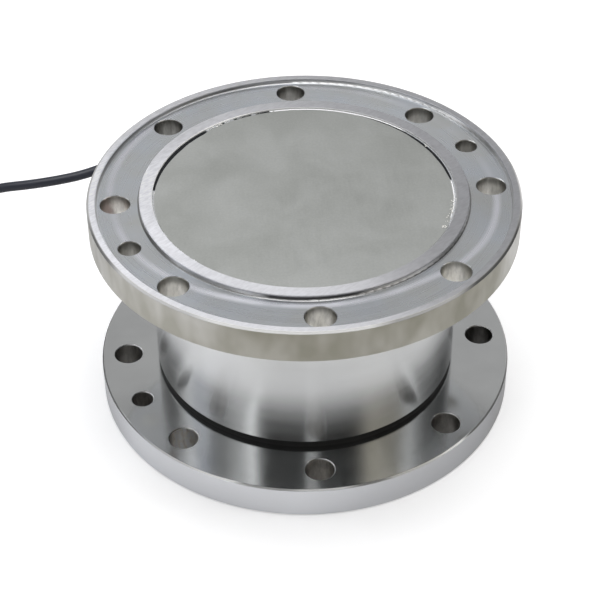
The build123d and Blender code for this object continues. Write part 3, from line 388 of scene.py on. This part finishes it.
def upper_flange_material():
    """Turned steel, with ground faces on the rim and the ring and a finely turned channel between them."""
    look = Shader("turned_and_ground_steel")
    radius, angle, height = look.polar()
    marks_place = look.marks_place(radius, angle, height)
    fine = look.noise(marks_place, 0.00022, 3.0, 0.7)
    wide = look.noise(marks_place, 0.0030, 2.0, 0.5)
    cloud = look.noise(look.place, 0.022, 3.0, 0.55)
    patch = look.noise(look.stretch(look.place, 1.0, 1.0, 0.55), 0.014, 2.0, 0.5)
    speck = look.noise(look.place, 0.0009, 2.0, 0.6)
    grind = look.noise(look.stretch(look.turn(look.place, radians(-35.0)), 0.25, 1.0, 1.0), 0.0009, 3.0, 0.65)

    # Where each part of the surface is
    in_groove = look.between(height, CHANNEL_Z - 0.0006, TOP_Z - 0.0005, 0.0003)
    channel = look.times(in_groove, look.between(radius, RING_R, RIM_R, 0.0002))
    walls = look.between(height, CHANNEL_Z - 0.0006, TOP_Z - 0.0004, 0.00004)
    rim_wall = look.times(walls, look.above(radius, RIM_R - 0.0007, 0.0002))
    ring_wall = look.times(walls, look.between(radius, RING_R - 0.0002, RING_R + 0.0008, 0.0002))
    # Painted shade in the crease at the foot of the rim and the ring
    root_shade = look.times(look.below(height, CHANNEL_Z + 0.0004, 0.0002), 0.5)
    rim_fillet = look.above(radius, RIM_R - 0.0009, 0.0002)
    ring_fillet = look.below(radius, RING_R + 0.0009, 0.0002)
    fillets = look.either(rim_fillet, ring_fillet)
    bore_wall = look.below(radius, COVER_BORE_R + 0.0002, 0.0001)
    bore_wall = look.times(bore_wall, look.above(height, COVER_Z - 0.0010, 0.0002))
    land = look.above(height, TOP_Z - 0.00075, 0.0001)
    side = look.above(radius, FLANGE_R - 0.0009, 0.0004)
    edge = look.times(side, look.above(height, TOP_Z - 0.0010, 0.0002))
    in_bolt, in_dowel = look.holes(radius, angle)
    in_hole = look.either(in_bolt, look.times(in_dowel, look.above(height, UPPER_FOOT_Z, 0.0001)))
    in_hole = look.times(in_hole, look.below(height, CHANNEL_Z - 0.00008, 0.00006))

    # Colours, with painted light, shade and highlights
    base = look.mix(look.vary(cloud, 0.0, 1.0), rgb(0.55, 0.56, 0.57), rgb(0.63, 0.64, 0.65))
    # Painted light and highlight streaks on the channel floor
    base = look.mix(channel, base, channel_colour_and_light(look, radius, angle, cloud))
    # Painted light and shade on the walls, darkest at their foot
    rim_light_and_shade = look.mix(root_shade, look.round_the_axis(angle, RIM_WALL_LIGHT), rgb(0.40, 0.41, 0.43))
    base = look.mix(rim_wall, base, rim_light_and_shade)
    root_shade_share = look.scale(root_shade, 0.0, 0.5, 0.0, 0.85)
    ring_wall_shading = look.round_the_axis(angle, RING_WALL_LIGHT)
    ring_light_and_shade = look.mix(root_shade_share, ring_wall_shading, look.round_the_axis(angle, RING_ROOT_LIGHT_AND_SHADE))
    base = look.mix(ring_wall, base, ring_light_and_shade)
    # Painted light on the ground faces, whitest at the left
    ground = look.tint(look.round_the_axis(angle, GROUND_PAINTED_LIGHT), look.vary(grind, 0.93, 1.06, 0.12))
    base = look.mix(land, base, look.tint(ground, rgb(1.02, 1.025, 1.07)))
    outer = look.mix(look.vary(patch, 0.0, 1.0, 0.12), rgb(0.43, 0.42, 0.37), rgb(0.60, 0.59, 0.555))
    base = look.mix(side, base, outer)
    # Painted highlights on the outer edge of the top and on the wall of the cover's bore
    base = look.mix(edge, base, look.round_the_axis(angle, OUTER_EDGE_HIGHLIGHT))
    base = look.mix(bore_wall, base, look.round_the_axis(angle, BORE_WALL_HIGHLIGHT))
    # Painted light and shade in the holes
    base = look.mix(in_hole, base, upper_bore_light_and_rust(look, angle, height, cloud))

    # Gloss, relief and metal
    # The edges that carry painted highlights, made rougher and half metal
    highlight_edges = look.either(edge, bore_wall)
    rough = look.blend(channel, 0.30, look.vary(wide, 0.265, 0.285))
    rough = look.blend(look.times(fillets, walls), rough, 0.48)
    rough = look.blend(land, rough, look.vary(grind, 0.50, 0.62))
    rough = look.blend(side, rough, look.vary(cloud, 0.28, 0.36, 0.15))
    rough = look.blend(highlight_edges, rough, 0.60)
    rough = look.blend(in_hole, rough, 0.42)
    turned = look.plus(look.times(fine, 0.5), look.times(wide, 0.5))
    relief = look.blend(land, turned, look.plus(look.times(grind, 0.6), look.times(speck, 0.4)))
    normal = look.bump(relief, 0.00002, look.blend(land, 0.011, 0.30))
    metal = look.blend(highlight_edges, 1.0, 0.5)
    look.grooves()
    return look.finish(base, rough, metal, normal, Anisotropic=0.5, Anisotropic_Rotation=0.25)


def lower_flange_material():
    """Polished steel with faint wiping marks, and a finely turned edge."""
    look = Shader("polished_steel")
    radius, angle, height = look.polar()
    cloud = look.noise(look.place, 0.030, 3.0, 0.6)
    wipe = look.noise(look.stretch(look.place, 1.0, 0.16, 1.0), 0.0026, 3.0, 0.6)
    fine = look.noise(look.marks_place(radius, angle, height), 0.00025, 3.0, 0.7)

    side = look.above(radius, FLANGE_R - 0.0006, 0.0003)
    chamfer = look.above(radius, FLANGE_R - 0.0007, 0.0001)
    chamfer = look.times(chamfer, look.above(height, LOWER_TOP_Z - 0.0007, 0.0001))
    in_hole = look.either(*look.holes(radius, angle, 0.0005))
    in_hole = look.times(in_hole, look.below(height, LOWER_TOP_Z - 0.00005, 0.00003))
    lip = look.above(height, LOWER_TOP_Z - 0.00045, 0.0001)
    side_shade, right = look.hole_sides(angle)
    lit_lip = look.times(look.times(lip, right), in_hole)

    base = look.mix(look.vary(cloud, 0.0, 1.0), rgb(0.60, 0.61, 0.61), rgb(0.66, 0.67, 0.67))
    # Painted reflection: the top face darker at some angles
    base = look.tint(base, look.round_the_axis(angle, LOWER_TOP_REFLECTION))
    # Painted light on the outer face, painted highlights on the chamfer
    base = look.mix(side, base, look.tint(look.round_the_axis(angle, LOWER_EDGE_LIGHT), rgb(0.985, 1.0, 1.03)))
    base = look.mix(chamfer, base, look.round_the_axis(angle, LOWER_CHAMFER_HIGHLIGHT))
    # Painted light and shade in the holes, darker on their left and right walls
    bore = look.tint(look.round_the_axis(angle, LOWER_HOLE_LIGHT), look.vary(cloud, 0.85, 1.1))
    bore = look.tint(bore, look.vary(look.drawn_marks(), 0.76, 1.22))
    bore = look.tint(look.tint(bore, look.scale(side_shade, 0.0, 1.0, 1.15, 0.35)), rgb(1.03, 1.0, 0.95))
    # Painted highlight on the right half of each hole's lip, painted shade on its left half
    bore = look.mix(lip, bore, look.mix(right, grey(0.20), rgb(0.95, 0.95, 0.96)))
    base = look.mix(in_hole, base, bore)

    rough = look.plus(look.vary(cloud, 0.08, 0.115), look.vary(wipe, 0.0, 0.03))
    rough = look.blend(side, rough, look.vary(fine, 0.18, 0.26))
    rough = look.blend(chamfer, rough, 0.50)
    rough = look.blend(in_hole, rough, 0.40)
    normal = look.bump(fine, 0.00001, 0.10)
    metal = look.blend(look.either(chamfer, lit_lip), 1.0, 0.5)
    look.grooves()
    return look.finish(base, rough, metal, normal, Anisotropic=0.45, Anisotropic_Rotation=0.25)


def sleeve_material():
    """Smooth turned steel: its fine grooves draw reflections out along the axis."""
    look = Shader("turned_steel")
    radius, angle, height = look.polar()
    marks_place = look.marks_place(radius, angle, height, 0.004)
    fine = look.noise(marks_place, 0.0002, 3.0, 0.7)
    wide = look.noise(marks_place, 0.004, 2.0, 0.6)
    cloud = look.noise(look.place, 0.03, 2.0, 0.5)
    base = look.mix(look.vary(cloud, 0.0, 1.0), rgb(0.66, 0.67, 0.675), rgb(0.72, 0.73, 0.735))
    # Painted reflection: the upper part is lighter, as it mirrors the pale floor
    upper_reflection = look.above(height, 0.046, 0.006)
    base = look.tint(base, look.scale(upper_reflection, 0.0, 1.0, 1.0, 1.18))
    look.grooves()
    normal = look.bump(fine, 0.00001, 0.025)
    rough = look.vary(wide, 0.19, 0.22)
    return look.finish(base, rough, 1.0, normal, Anisotropic=1.0, Anisotropic_Rotation=0.25)


def cover_material():
    """Matte, lightly brushed cover plate with soft clouds in its finish."""
    look = Shader("matte_cover_steel")
    cloud = look.noise(look.place, 0.026, 3.0, 0.55, 0.4)
    brush = look.noise(look.stretch(look.place, 1.0, 0.05, 1.0), 0.0010, 4.0, 0.7)
    grain = look.noise(look.place, 0.0004, 3.0, 0.7)
    speck = look.noise(look.place, 0.0011, 2.0, 0.6)
    base = look.mix(look.vary(cloud, 0.0, 1.0, 0.15), rgb(0.394, 0.404, 0.389), rgb(0.438, 0.448, 0.437))
    # Painted light: lighter towards the back
    base = look.tint(base, look.scale(look.xyz(look.place)[1], -COVER_R, COVER_R, 0.93, 1.10))
    base = look.mix(look.vary(brush, 0.0, 0.20), base, rgb(0.49, 0.50, 0.48))
    base = look.tint(base, look.vary(speck, 0.955, 1.035))
    rough = look.plus(look.vary(cloud, 0.46, 0.50), look.vary(brush, -0.02, 0.02))
    relief = look.plus(look.times(brush, 0.5), look.times(grain, 0.5))
    return look.finish(base, rough, 1.0, look.bump(relief, 0.00002, 0.25))


# Other materials

def plain_metal(name, dark, light, rough_low, rough_high, mark=0.0006, stretch=(1.0, 1.0, 1.0)):
    """Machined or plated metal with small differences in tone and gloss."""
    look = Shader(name)
    cloud = look.noise(look.place, 0.008, 3.0, 0.6)
    marks = look.noise(look.stretch(look.place, *stretch), mark, 3.0, 0.7)
    base = look.mix(look.vary(cloud, 0.0, 1.0), rgb(*dark), rgb(*light))
    return look.finish(base, look.vary(marks, rough_low, rough_high), 1.0, look.bump(marks, 0.00002, 0.2))


def plain_solid(name, dark, light, rough_low, rough_high, grain=0.0005):
    """Moulded or cast matter with a fine grain."""
    look = Shader(name)
    cloud = look.noise(look.place, 0.006, 3.0, 0.6)
    marks = look.noise(look.place, grain, 3.0, 0.7)
    base = look.mix(look.vary(cloud, 0.0, 1.0), rgb(*dark), rgb(*light))
    return look.finish(base, look.vary(marks, rough_low, rough_high), 0.0, look.bump(marks, 0.00003, 0.4))


def tie_material():
    """Woven hook and loop tape."""
    look = Shader("woven_tape")
    inputs = {"Vector": look.place, "Scale": 900.0, "Distortion": 1.5}
    waves = look.node("ShaderNodeTexWave", inputs, wave_type="BANDS", bands_direction="DIAGONAL")
    weave = waves.outputs["Fac"]
    fuzz = look.noise(look.place, 0.0005, 4.0, 0.7)
    base = look.mix(weave, rgb(0.012, 0.012, 0.014), rgb(0.045, 0.045, 0.050))
    return look.finish(base, look.vary(fuzz, 0.75, 0.95), 0.0, look.bump(look.plus(weave, fuzz), 0.0001, 0.6))


def board_material():
    """Green solder resist with lighter copper tracks under it."""
    look = Shader("circuit_board_resist")
    cells = look.node("ShaderNodeTexBrick", {
        "Vector": look.place, "Scale": 160.0, "Mortar Size": 0.06, "Color1": rgb(0.012, 0.085, 0.035),
        "Color2": rgb(0.016, 0.105, 0.045), "Mortar": rgb(0.045, 0.20, 0.085),
    })
    grain = look.noise(look.place, 0.0006, 2.0, 0.6)
    normal = look.bump(cells.outputs["Fac"], 0.00003, 0.5)
    return look.finish(cells.outputs["Color"], look.vary(grain, 0.28, 0.40), 0.0, normal)


def cable_material():
    """Smooth black jacket with a slight sheen and fine drawing marks."""
    look = Shader("black_cable_jacket")
    cloud = look.noise(look.place, 0.012, 3.0, 0.6)
    grain = look.noise(look.place, 0.0005, 3.0, 0.7)
    base = look.mix(cloud, rgb(0.020, 0.022, 0.032), rgb(0.032, 0.035, 0.048))
    normal = look.bump(grain, 0.00003, 0.25)
    return look.finish(base, look.vary(grain, 0.36, 0.48), 0.0, normal, Specular_IOR_Level=0.38)


def adhesive_material():
    """Adhesive: grey in most places, pale where it has dried out, and black as painted shadow where the gap
    round the cover is in shade. The ranges are degrees about the axis."""
    look = Shader("cover_adhesive")
    radius, angle, _ = look.polar()
    turn = look.math("DEGREES", angle)
    grain = look.noise(look.place, 0.0007, 3.0, 0.65)
    on_cover = look.below(radius, COVER_R - 0.0006, 0.0001)
    near_edge = look.above(radius, COVER_R - 0.0003, 0.0001)
    short_of_edge = look.below(radius, COVER_R - 0.0003, 0.0001)
    grey_glue = look.mix(look.vary(grain, 0.0, 1.0, 0.15), rgb(0.27, 0.28, 0.29), rgb(0.46, 0.47, 0.49))
    dried = look.times(on_cover, look.between(turn, -22.0, 3.0, 1.0))
    dried = look.either(dried, look.times(near_edge, look.between(turn, 42.0, 103.0, 2.0)))
    base = look.mix(dried, grey_glue, rgb(0.93, 0.93, 0.95))
    # Painted shadow: black in the shaded gap round the cover
    black = look.times(short_of_edge, look.between(turn, 3.5, 62.0, 1.0))
    dashes = look.above(look.noise(look.place, 0.003, 1.0, 0.5), 0.48, 0.03)
    dashes = look.times(look.between(turn, 98.0, 122.0, 1.0), dashes)
    black = look.either(black, look.either(dashes, look.between(turn, 128.5, 174.0, 0.5)))
    base = look.mix(black, base, rgb(0.008, 0.009, 0.011))
    normal = look.bump(grain, 0.00006, 0.4)
    return look.finish(base, look.vary(grain, 0.45, 0.65), 0.0, normal, Specular_IOR_Level=0.15)


def dress_nodes():
    """Every material by the name of its slot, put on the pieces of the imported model."""
    materials = {
        "ground_steel": upper_flange_material(),
        "polished_steel": lower_flange_material(),
        "turned_steel": sleeve_material(),
        "matte_cover": cover_material(),
        "sealant": adhesive_material(),
        "circuit_board": board_material(),
        "cable_jacket": cable_material(),
        "tie_fabric": tie_material(),
    }
    milled = (0.56, 0.56, 0.55), (0.66, 0.66, 0.65), 0.28, 0.42, 0.0008, (1.0, 1.0, 0.2)
    for slot, name, *values in (
        ("milled_steel", "milled_steel", *milled),
        ("black_screws", "blackened_screws", (0.020, 0.020, 0.022), (0.045, 0.045, 0.050), 0.38, 0.52),
        ("brass", "brass", (0.60, 0.42, 0.16), (0.72, 0.52, 0.22), 0.26, 0.38),
        ("nickel", "nickel_plate", (0.60, 0.58, 0.54), (0.68, 0.66, 0.62), 0.14, 0.24),
        ("gold_contact", "gold_contact", (0.78, 0.56, 0.22), (0.86, 0.65, 0.30), 0.14, 0.24),
    ):
        materials[slot] = plain_metal(name, *values)
    for slot, *values in (
        ("black_rubber", (0.005, 0.005, 0.005), (0.013, 0.013, 0.013), 0.60, 0.80),
        ("gauge_foil", (0.50, 0.33, 0.10), (0.66, 0.46, 0.17), 0.25, 0.40, 0.0004),
        ("wire_jacket", (0.34, 0.33, 0.32), (0.48, 0.47, 0.45), 0.40, 0.55),
        ("chip_plastic", (0.016, 0.016, 0.018), (0.032, 0.032, 0.035), 0.50, 0.65),
        ("header_plastic", (0.55, 0.53, 0.46), (0.66, 0.64, 0.57), 0.42, 0.55),
        ("insert_plastic", (0.018, 0.018, 0.020), (0.035, 0.035, 0.038), 0.42, 0.58),
    ):
        materials[slot] = plain_solid(slot, *values)
    for node in NODES.values():
        node.data.materials[0] = materials[node.data.materials[0].name]
    return materials


# Cable

# Free route from the bend relief down to the floor behind the sensor, and on to the coil
ROUTE = [
    (-0.03982, 0.09614, 0.056),
    (-0.04939, 0.11923, 0.056),
    (-0.0710, 0.1289, 0.0530),
    (-0.1025, 0.1180, 0.0433),
    (-0.1320, 0.1125, 0.0415),
    (-0.1630, 0.1155, 0.0376),
    (-0.1875, 0.1185, 0.0178),
    (-0.2080, 0.1195, 0.00345),
    (-0.2285, 0.1195, 0.00345),
    (-0.2400, 0.1195, 0.00345),
]
TAIL = [
    (-0.28445, 0.06355, 0.01875),
    (-0.28445, 0.04755, 0.01875),
    (-0.28445, 0.02355, 0.00925),
    (-0.28445, 0.00755, 0.00925),
]
COIL_CENTRE = (-0.2495, 0.08455)
COIL_MEAN_R = 0.0273
COIL_FOOT_Z = 0.00345  # middle of its lowest turns
COIL_RADII = [COIL_MEAN_R + (column - 1.5) * CABLE_D for column in range(4)]
COIL_LEVELS = [COIL_FOOT_Z + row * CABLE_D for row in range(4)]
POINTS_PER_TURN = 24
# A spline with this many points a turn runs inside them, so they stand this much farther out
COIL_SPREAD = 1 / (0.75 + 0.25 * cos(tau / POINTS_PER_TURN))
# In turns: where the first row's turns move on to the next place, how long that takes, and how much sooner
# the cable moves on when it climbs to the next row
FIRST_SHIFT = 300 / 360
SHIFT_LENGTH = 60 / 360
SHIFT_ADVANCE = 62 / 360


def ease(share):
    """A share from 0 to 1, with a slow start and a slow end."""
    share = min(max(share, 0.0), 1.0)
    return share * share * (3 - 2 * share)


def coil_shifts():
    """Where the cable moves on to its next place in the coil: from and to in turns, and the column and row
    there. It winds inwards in the first and third row, and outwards in the others."""
    shifts = []
    turn, at = 0, FIRST_SHIFT
    for row in range(4):
        columns = [2, 1, 0] if row % 2 == 0 else [1, 2, 3]
        for column in columns:
            shifts.append((turn + at, turn + at + SHIFT_LENGTH, column, row))
            turn += 1
        if row < 3:
            at -= SHIFT_ADVANCE
            shifts.append((turn + at, turn + at + SHIFT_LENGTH, columns[-1], row + 1))
            at -= SHIFT_ADVANCE
            if at >= 0:
                turn += 1
            else:
                at += 1
    return shifts


def coil_points():
    """Points of the wound length: four rows of four turns, a cable's width apart."""
    shifts = coil_shifts()
    last = shifts[-1][1]
    end = int(last) + 0.25  # a quarter of a turn on, where the tail begins
    if end < last:
        end += 1
    points = []
    for step in range(1, round(end * POINTS_PER_TURN)):
        at = step / POINTS_PER_TURN
        radius, level = COIL_RADII[3], COIL_LEVELS[0]
        for start, stop, column, row in shifts:
            share = ease((at - start) / (stop - start))
            radius += (COIL_RADII[column] - radius) * share
            level += (COIL_LEVELS[row] - level) * share
        angle = pi / 2 + tau * at
        points.append((
            COIL_CENTRE[0] + COIL_SPREAD * radius * cos(angle),
            COIL_CENTRE[1] + COIL_SPREAD * radius * sin(angle),
            level,
        ))
    return points


def add_cable(jacket):
    """The whole cable as one smooth line of constant thickness."""
    points = ROUTE + coil_points() + TAIL
    data = bpy.data.curves.new("signal_cable", "CURVE")
    data.dimensions = "3D"
    line = data.splines.new("NURBS")
    line.points.add(len(points) - 1)
    for point, place in zip(line.points, points):
        point.co = (*place, 1.0)
        point.radius = CABLE_D / 2
    line.order_u = 3
    line.use_endpoint_u = True
    line.resolution_u = 8
    data.bevel_depth = 1.0  # times each point's radius
    data.bevel_resolution = 8
    data.use_fill_caps = True
    data.materials.append(jacket)
    cable = bpy.data.objects.new("signal_cable", data)
    bpy.context.collection.objects.link(cable)
    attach(cable, "sensor")
    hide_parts("sensor_cable", "cable_coil", "cable_tail")


# Adhesive round the cover

# How far the adhesive laps over the cover's edge: degrees about the axis, and millimetres
LAPS = [
    (0, 1.05), (4, 1.1), (10, 1.4), (18, 1.65), (26, 1.6), (32, 1.45), (40, 1.15), (48, 1.0), (56, 0.75),
    (64, 0.40), (96, 0.30), (102, 0.45), (120, 0.45), (127, 0.5), (130, 1.35), (144, 1.45), (152, 1.35),
    (160, 1.15), (168, 0.9), (176, 0.6), (188, 0.35), (198, 0.06), (334, 0.06), (340, 0.90), (360, 1.05),
]
BOND_STEPS = 900
RIPPLES = 90  # uneven places round the bond line


def add_mesh(name, vertices, faces, material, slot):
    mesh = bpy.data.meshes.new(name)
    mesh.from_pydata(vertices, [], faces)
    mesh.materials.append(material)
    mesh.validate()
    piece = bpy.data.objects.new(name, mesh)
    bpy.context.collection.objects.link(piece)
    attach(piece, "sensor")
    return piece


def lap_at(turn):
    """How far the adhesive laps over the cover's edge, in metres, at this many degrees about the axis."""
    for (start, first), (stop, last) in zip(LAPS, LAPS[1:]):
        if turn <= stop:
            return 0.001 * (first + (last - first) * (turn - start) / (stop - start))


def add_bond(sealant):
    """The bond line with its uneven edge: it fills the gap round the cover and laps over it in places."""
    luck = Random(11)
    ripple = [luck.uniform(-1, 1) for _ in range(RIPPLES)]
    per_ripple = BOND_STEPS // RIPPLES
    vertices, faces = [], []
    for step in range(BOND_STEPS):
        turn = 360 * step / BOND_STEPS
        place, rest = divmod(step, per_ripple)
        share = ease(rest / per_ripple)
        uneven = ripple[place] * (1 - share) + ripple[(place + 1) % RIPPLES] * share
        lap = lap_at(turn) * (1 + 0.10 * uneven)
        rise = 0.00004 + 0.05 * lap
        inner = COVER_R - lap
        middle = (inner + COVER_BORE_R) / 2
        # The section's corners, up the cover's edge, over the lap and down the wall of the bore
        section = [
            (COVER_R, COVER_Z - 0.0020), (COVER_R, COVER_Z - 0.00002), (inner, COVER_Z + 0.000005),
            (inner + 0.00004, COVER_Z + rise * 0.6), (middle, COVER_Z + rise),
            (COVER_BORE_R, COVER_Z + rise * 1.2), (COVER_BORE_R, COVER_Z - 0.0020),
        ]
        angle = radians(turn)
        vertices += [(radius * cos(angle), radius * sin(angle), height) for radius, height in section]
    size = len(section)
    for step in range(BOND_STEPS):
        here, there = step * size, (step + 1) % BOND_STEPS * size
        for corner in range(size):
            after = (corner + 1) % size
            faces.append((here + corner, here + after, there + after, there + corner))
    bond = add_mesh("cover_bond_line", vertices, faces, sealant, "sealant")
    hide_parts("cover_bond")


def lumps(luck, groups):
    """Small flattened lumps of uneven shape. Each group: from and to in degrees, how many, least and greatest
    radius, least and greatest size, and the height of what they lie on."""
    shape = bmesh.new()
    for start, stop, count, inner, outer, least, most, level in groups:
        for _ in range(count):
            size = luck.uniform(least, most)
            angle = radians(luck.uniform(start, stop))
            radius = luck.uniform(inner, outer)
            ball = bmesh.ops.create_icosphere(shape, subdivisions=2, radius=size / 2)["verts"]
            long, wide = luck.uniform(0.8, 1.7), luck.uniform(0.6, 1.0)
            spin = luck.uniform(0, tau)
            for vertex in ball:
                bulge = 1 + luck.uniform(-0.22, 0.22)
                x, y, z = vertex.co.x * long * bulge, vertex.co.y * wide * bulge, vertex.co.z * 0.45 * bulge
                vertex.co = (
                    radius * cos(angle) + x * cos(spin) - y * sin(spin),
                    radius * sin(angle) + x * sin(spin) + y * cos(spin),
                    level + z,
                )
    vertices = [tuple(vertex.co) for vertex in shape.verts]
    faces = [tuple(corner.index for corner in face.verts) for face in shape.faces]
    shape.free()
    return vertices, faces


def add_crumbs():
    """Remnants of dried adhesive on the cover's edge, and the small burrs left on the ring's inner edge."""
    dried = plain_solid("dried_adhesive", (0.62, 0.61, 0.57), (0.90, 0.89, 0.86), 0.40, 0.60, 0.0004)
    burred = plain_metal("raised_burr", (0.50, 0.50, 0.51), (0.78, 0.78, 0.80), 0.25, 0.40, 0.0003)
    low, high = COVER_Z + 0.00008, COVER_Z + 0.0001
    crumbs = lumps(Random(5), [
        (331.0, 350.0, 34, 0.0672, 0.0694, 0.0003, 0.0009, low),
        (346.0, 354.0, 10, 0.0688, 0.0697, 0.0003, 0.0007, low),
        (120.0, 128.0, 14, 0.0690, 0.0699, 0.0003, 0.0008, high),
        (27.5, 29.5, 3, 0.0690, 0.0698, 0.0004, 0.0007, high),
        (174.5, 177.0, 3, 0.0690, 0.0698, 0.0003, 0.0006, high),
        (102.0, 120.0, 12, 0.0696, 0.0699, 0.0002, 0.0004, high),
    ])
    add_mesh("cover_adhesive_crumbs", *crumbs, dried, "sealant")
    burrs = lumps(Random(8), [(198.0, 224.0, 16, 0.0698, 0.0700, 0.0003, 0.0006, TOP_Z - 0.00022)])
    add_mesh("ring_edge_burrs", *burrs, burred, "ground_steel")


# Floor, lights and world

WARM = rgb(1.08, 1.0, 0.84)
COOL = rgb(0.93, 0.97, 1.10)
# Panels round the sensor: degrees to the right of the photographer, and brightness. A ramp holds 32 at most.
PANELS = [
    (-180, 0.50), (-143, 0.28), (-131, 0.09), (-114, 0.18), (-110, 1.60), (-104, 1.60), (-101.5, 0.62),
    (-90, 0.58), (-84, 0.28), (-70, 0.26), (-62, 0.60), (-51, 0.72), (-48.5, 1.55), (-43, 1.55), (-41, 0.04),
    (-5, 0.04), (-3, 0.48), (4, 0.48), (6, 0.03), (34, 0.0), (38, 0.03), (47, 0.54), (78, 0.38), (81, 1.60),
    (86.5, 1.60), (89, 0.36), (108, 0.22), (122, 0.06), (136, 0.06), (152, 0.45), (180, 0.50),
]
# Walls and ceiling: height from straight down at 0 to straight up at 1, and brightness
LAYERS = [(0.49, 0.72), (0.56, 0.62), (0.90, 0.50), (1.0, 0.60)]


def bearing_of(graph, x, y):
    """Degrees to the right of the photographer, who stands at -Y."""
    return graph.math("DEGREES", graph.math("ARCTAN2", x, graph.times(y, -1.0)))


def add_floor():
    """Pale sheet that takes the sensor's shadow. Farther out, in front, it is the darker table that the
    sensor mirrors. The camera sees it bleach out with the distance."""
    mesh = bpy.data.meshes.new("floor")
    half = 3.0
    corners = [(-half, -half, 0), (half, -half, 0), (half, half, 0), (-half, half, 0)]
    mesh.from_pydata(corners, [], [(0, 1, 2, 3)])
    floor = bpy.data.objects.new("floor", mesh)
    bpy.context.collection.objects.link(floor)
    look = Shader("floor")
    x, y, _ = look.xyz(look.place)
    radius = look.polar()[0]
    far_out = look.above(radius, 0.200, 0.018)
    table = look.times(far_out, look.between(bearing_of(look, x, y), -42.0, 92.0, 12.0))
    streaks = look.vary(look.noise(look.place, 0.05, 2.0, 0.5), 0.0, 1.0, 0.15)
    wood = look.mix(streaks, rgb(0.36, 0.345, 0.29), rgb(0.56, 0.55, 0.50))
    look.finish(look.mix(table, rgb(0.81, 0.81, 0.82), wood), 0.9, Specular_IOR_Level=0.1)
    bleach = look.plus(look.scale(radius, 0.35, 1.1, 0.38, 1.0), look.times(table, 0.45))
    for_camera = look.times(look.node("ShaderNodeLightPath").outputs["Is Camera Ray"], bleach)
    glow = look.node("ShaderNodeEmission", {"Color": rgb(1, 1, 1), "Strength": for_camera})
    both = look.node("ShaderNodeAddShader", {0: look.surface.outputs[0], 1: glow.outputs[0]})
    look.link(both.outputs[0], look.tree.nodes["Material Output"].inputs["Surface"])
    mesh.materials.append(look.material)


def add_light(name, place, aim, width, height, power):
    data = bpy.data.lights.new(name, "AREA")
    data.shape = "RECTANGLE"
    data.size = width
    data.size_y = height
    data.energy = power
    light = bpy.data.objects.new(name, data)
    light.location = place
    light.rotation_euler = (Vector(aim) - Vector(place)).to_track_quat("-Z", "Y").to_euler()
    light.visible_camera = False
    bpy.context.collection.objects.link(light)


def add_world():
    """The studio round the sensor: lit and dark panels at half height, all round, between pale walls low down
    and a grey ceiling. The camera itself sees plain white."""
    world = bpy.data.worlds.new("studio")
    bpy.context.scene.world = world
    world.use_nodes = True
    sky = Graph(world.node_tree)
    x, y, z = sky.xyz(sky.node("ShaderNodeTexCoord").outputs["Generated"])
    bearing = bearing_of(sky, x, y)
    height = sky.math("DEGREES", sky.math("ARCSINE", z))
    round_us = sky.scale(bearing, -180.0, 180.0, 0.0, 1.0)
    panels = sky.ramp(round_us, [((at + 180) / 360, level) for at, level in PANELS])
    panels = sky.mix(sky.between(bearing, 40.0, 76.0, 4.0), panels, sky.tint(panels, WARM))
    panels = sky.mix(sky.between(bearing, -100.0, -86.0, 2.0), panels, sky.tint(panels, COOL))
    layers = sky.ramp(sky.scale(height, -90.0, 90.0, 0.0, 1.0), LAYERS)
    light = sky.mix(sky.between(height, 11.0, 74.0, 5.0), layers, panels)
    camera_ray = sky.node("ShaderNodeLightPath").outputs["Is Camera Ray"]
    background = sky.tree.nodes["Background"]
    sky.link(sky.mix(camera_ray, light, rgb(1, 1, 1)), background.inputs["Color"])
    background.inputs["Strength"].default_value = 1.0


# The scene

add_camera()
materials = dress_nodes()
add_cable(materials["cable_jacket"])
add_bond(materials["sealant"])
add_crumbs()
add_floor()
add_light("top_softbox", (-0.20, 0.07, 0.53), (-0.05, -0.03, 0.10), 0.30, 0.30, 0.80)
add_light("high_softbox", (0.25, 0.10, 1.60), (0, 0, 0), 0.9, 0.9, 14.0)
add_world()
bpy.context.scene.view_settings.view_transform = "Standard"
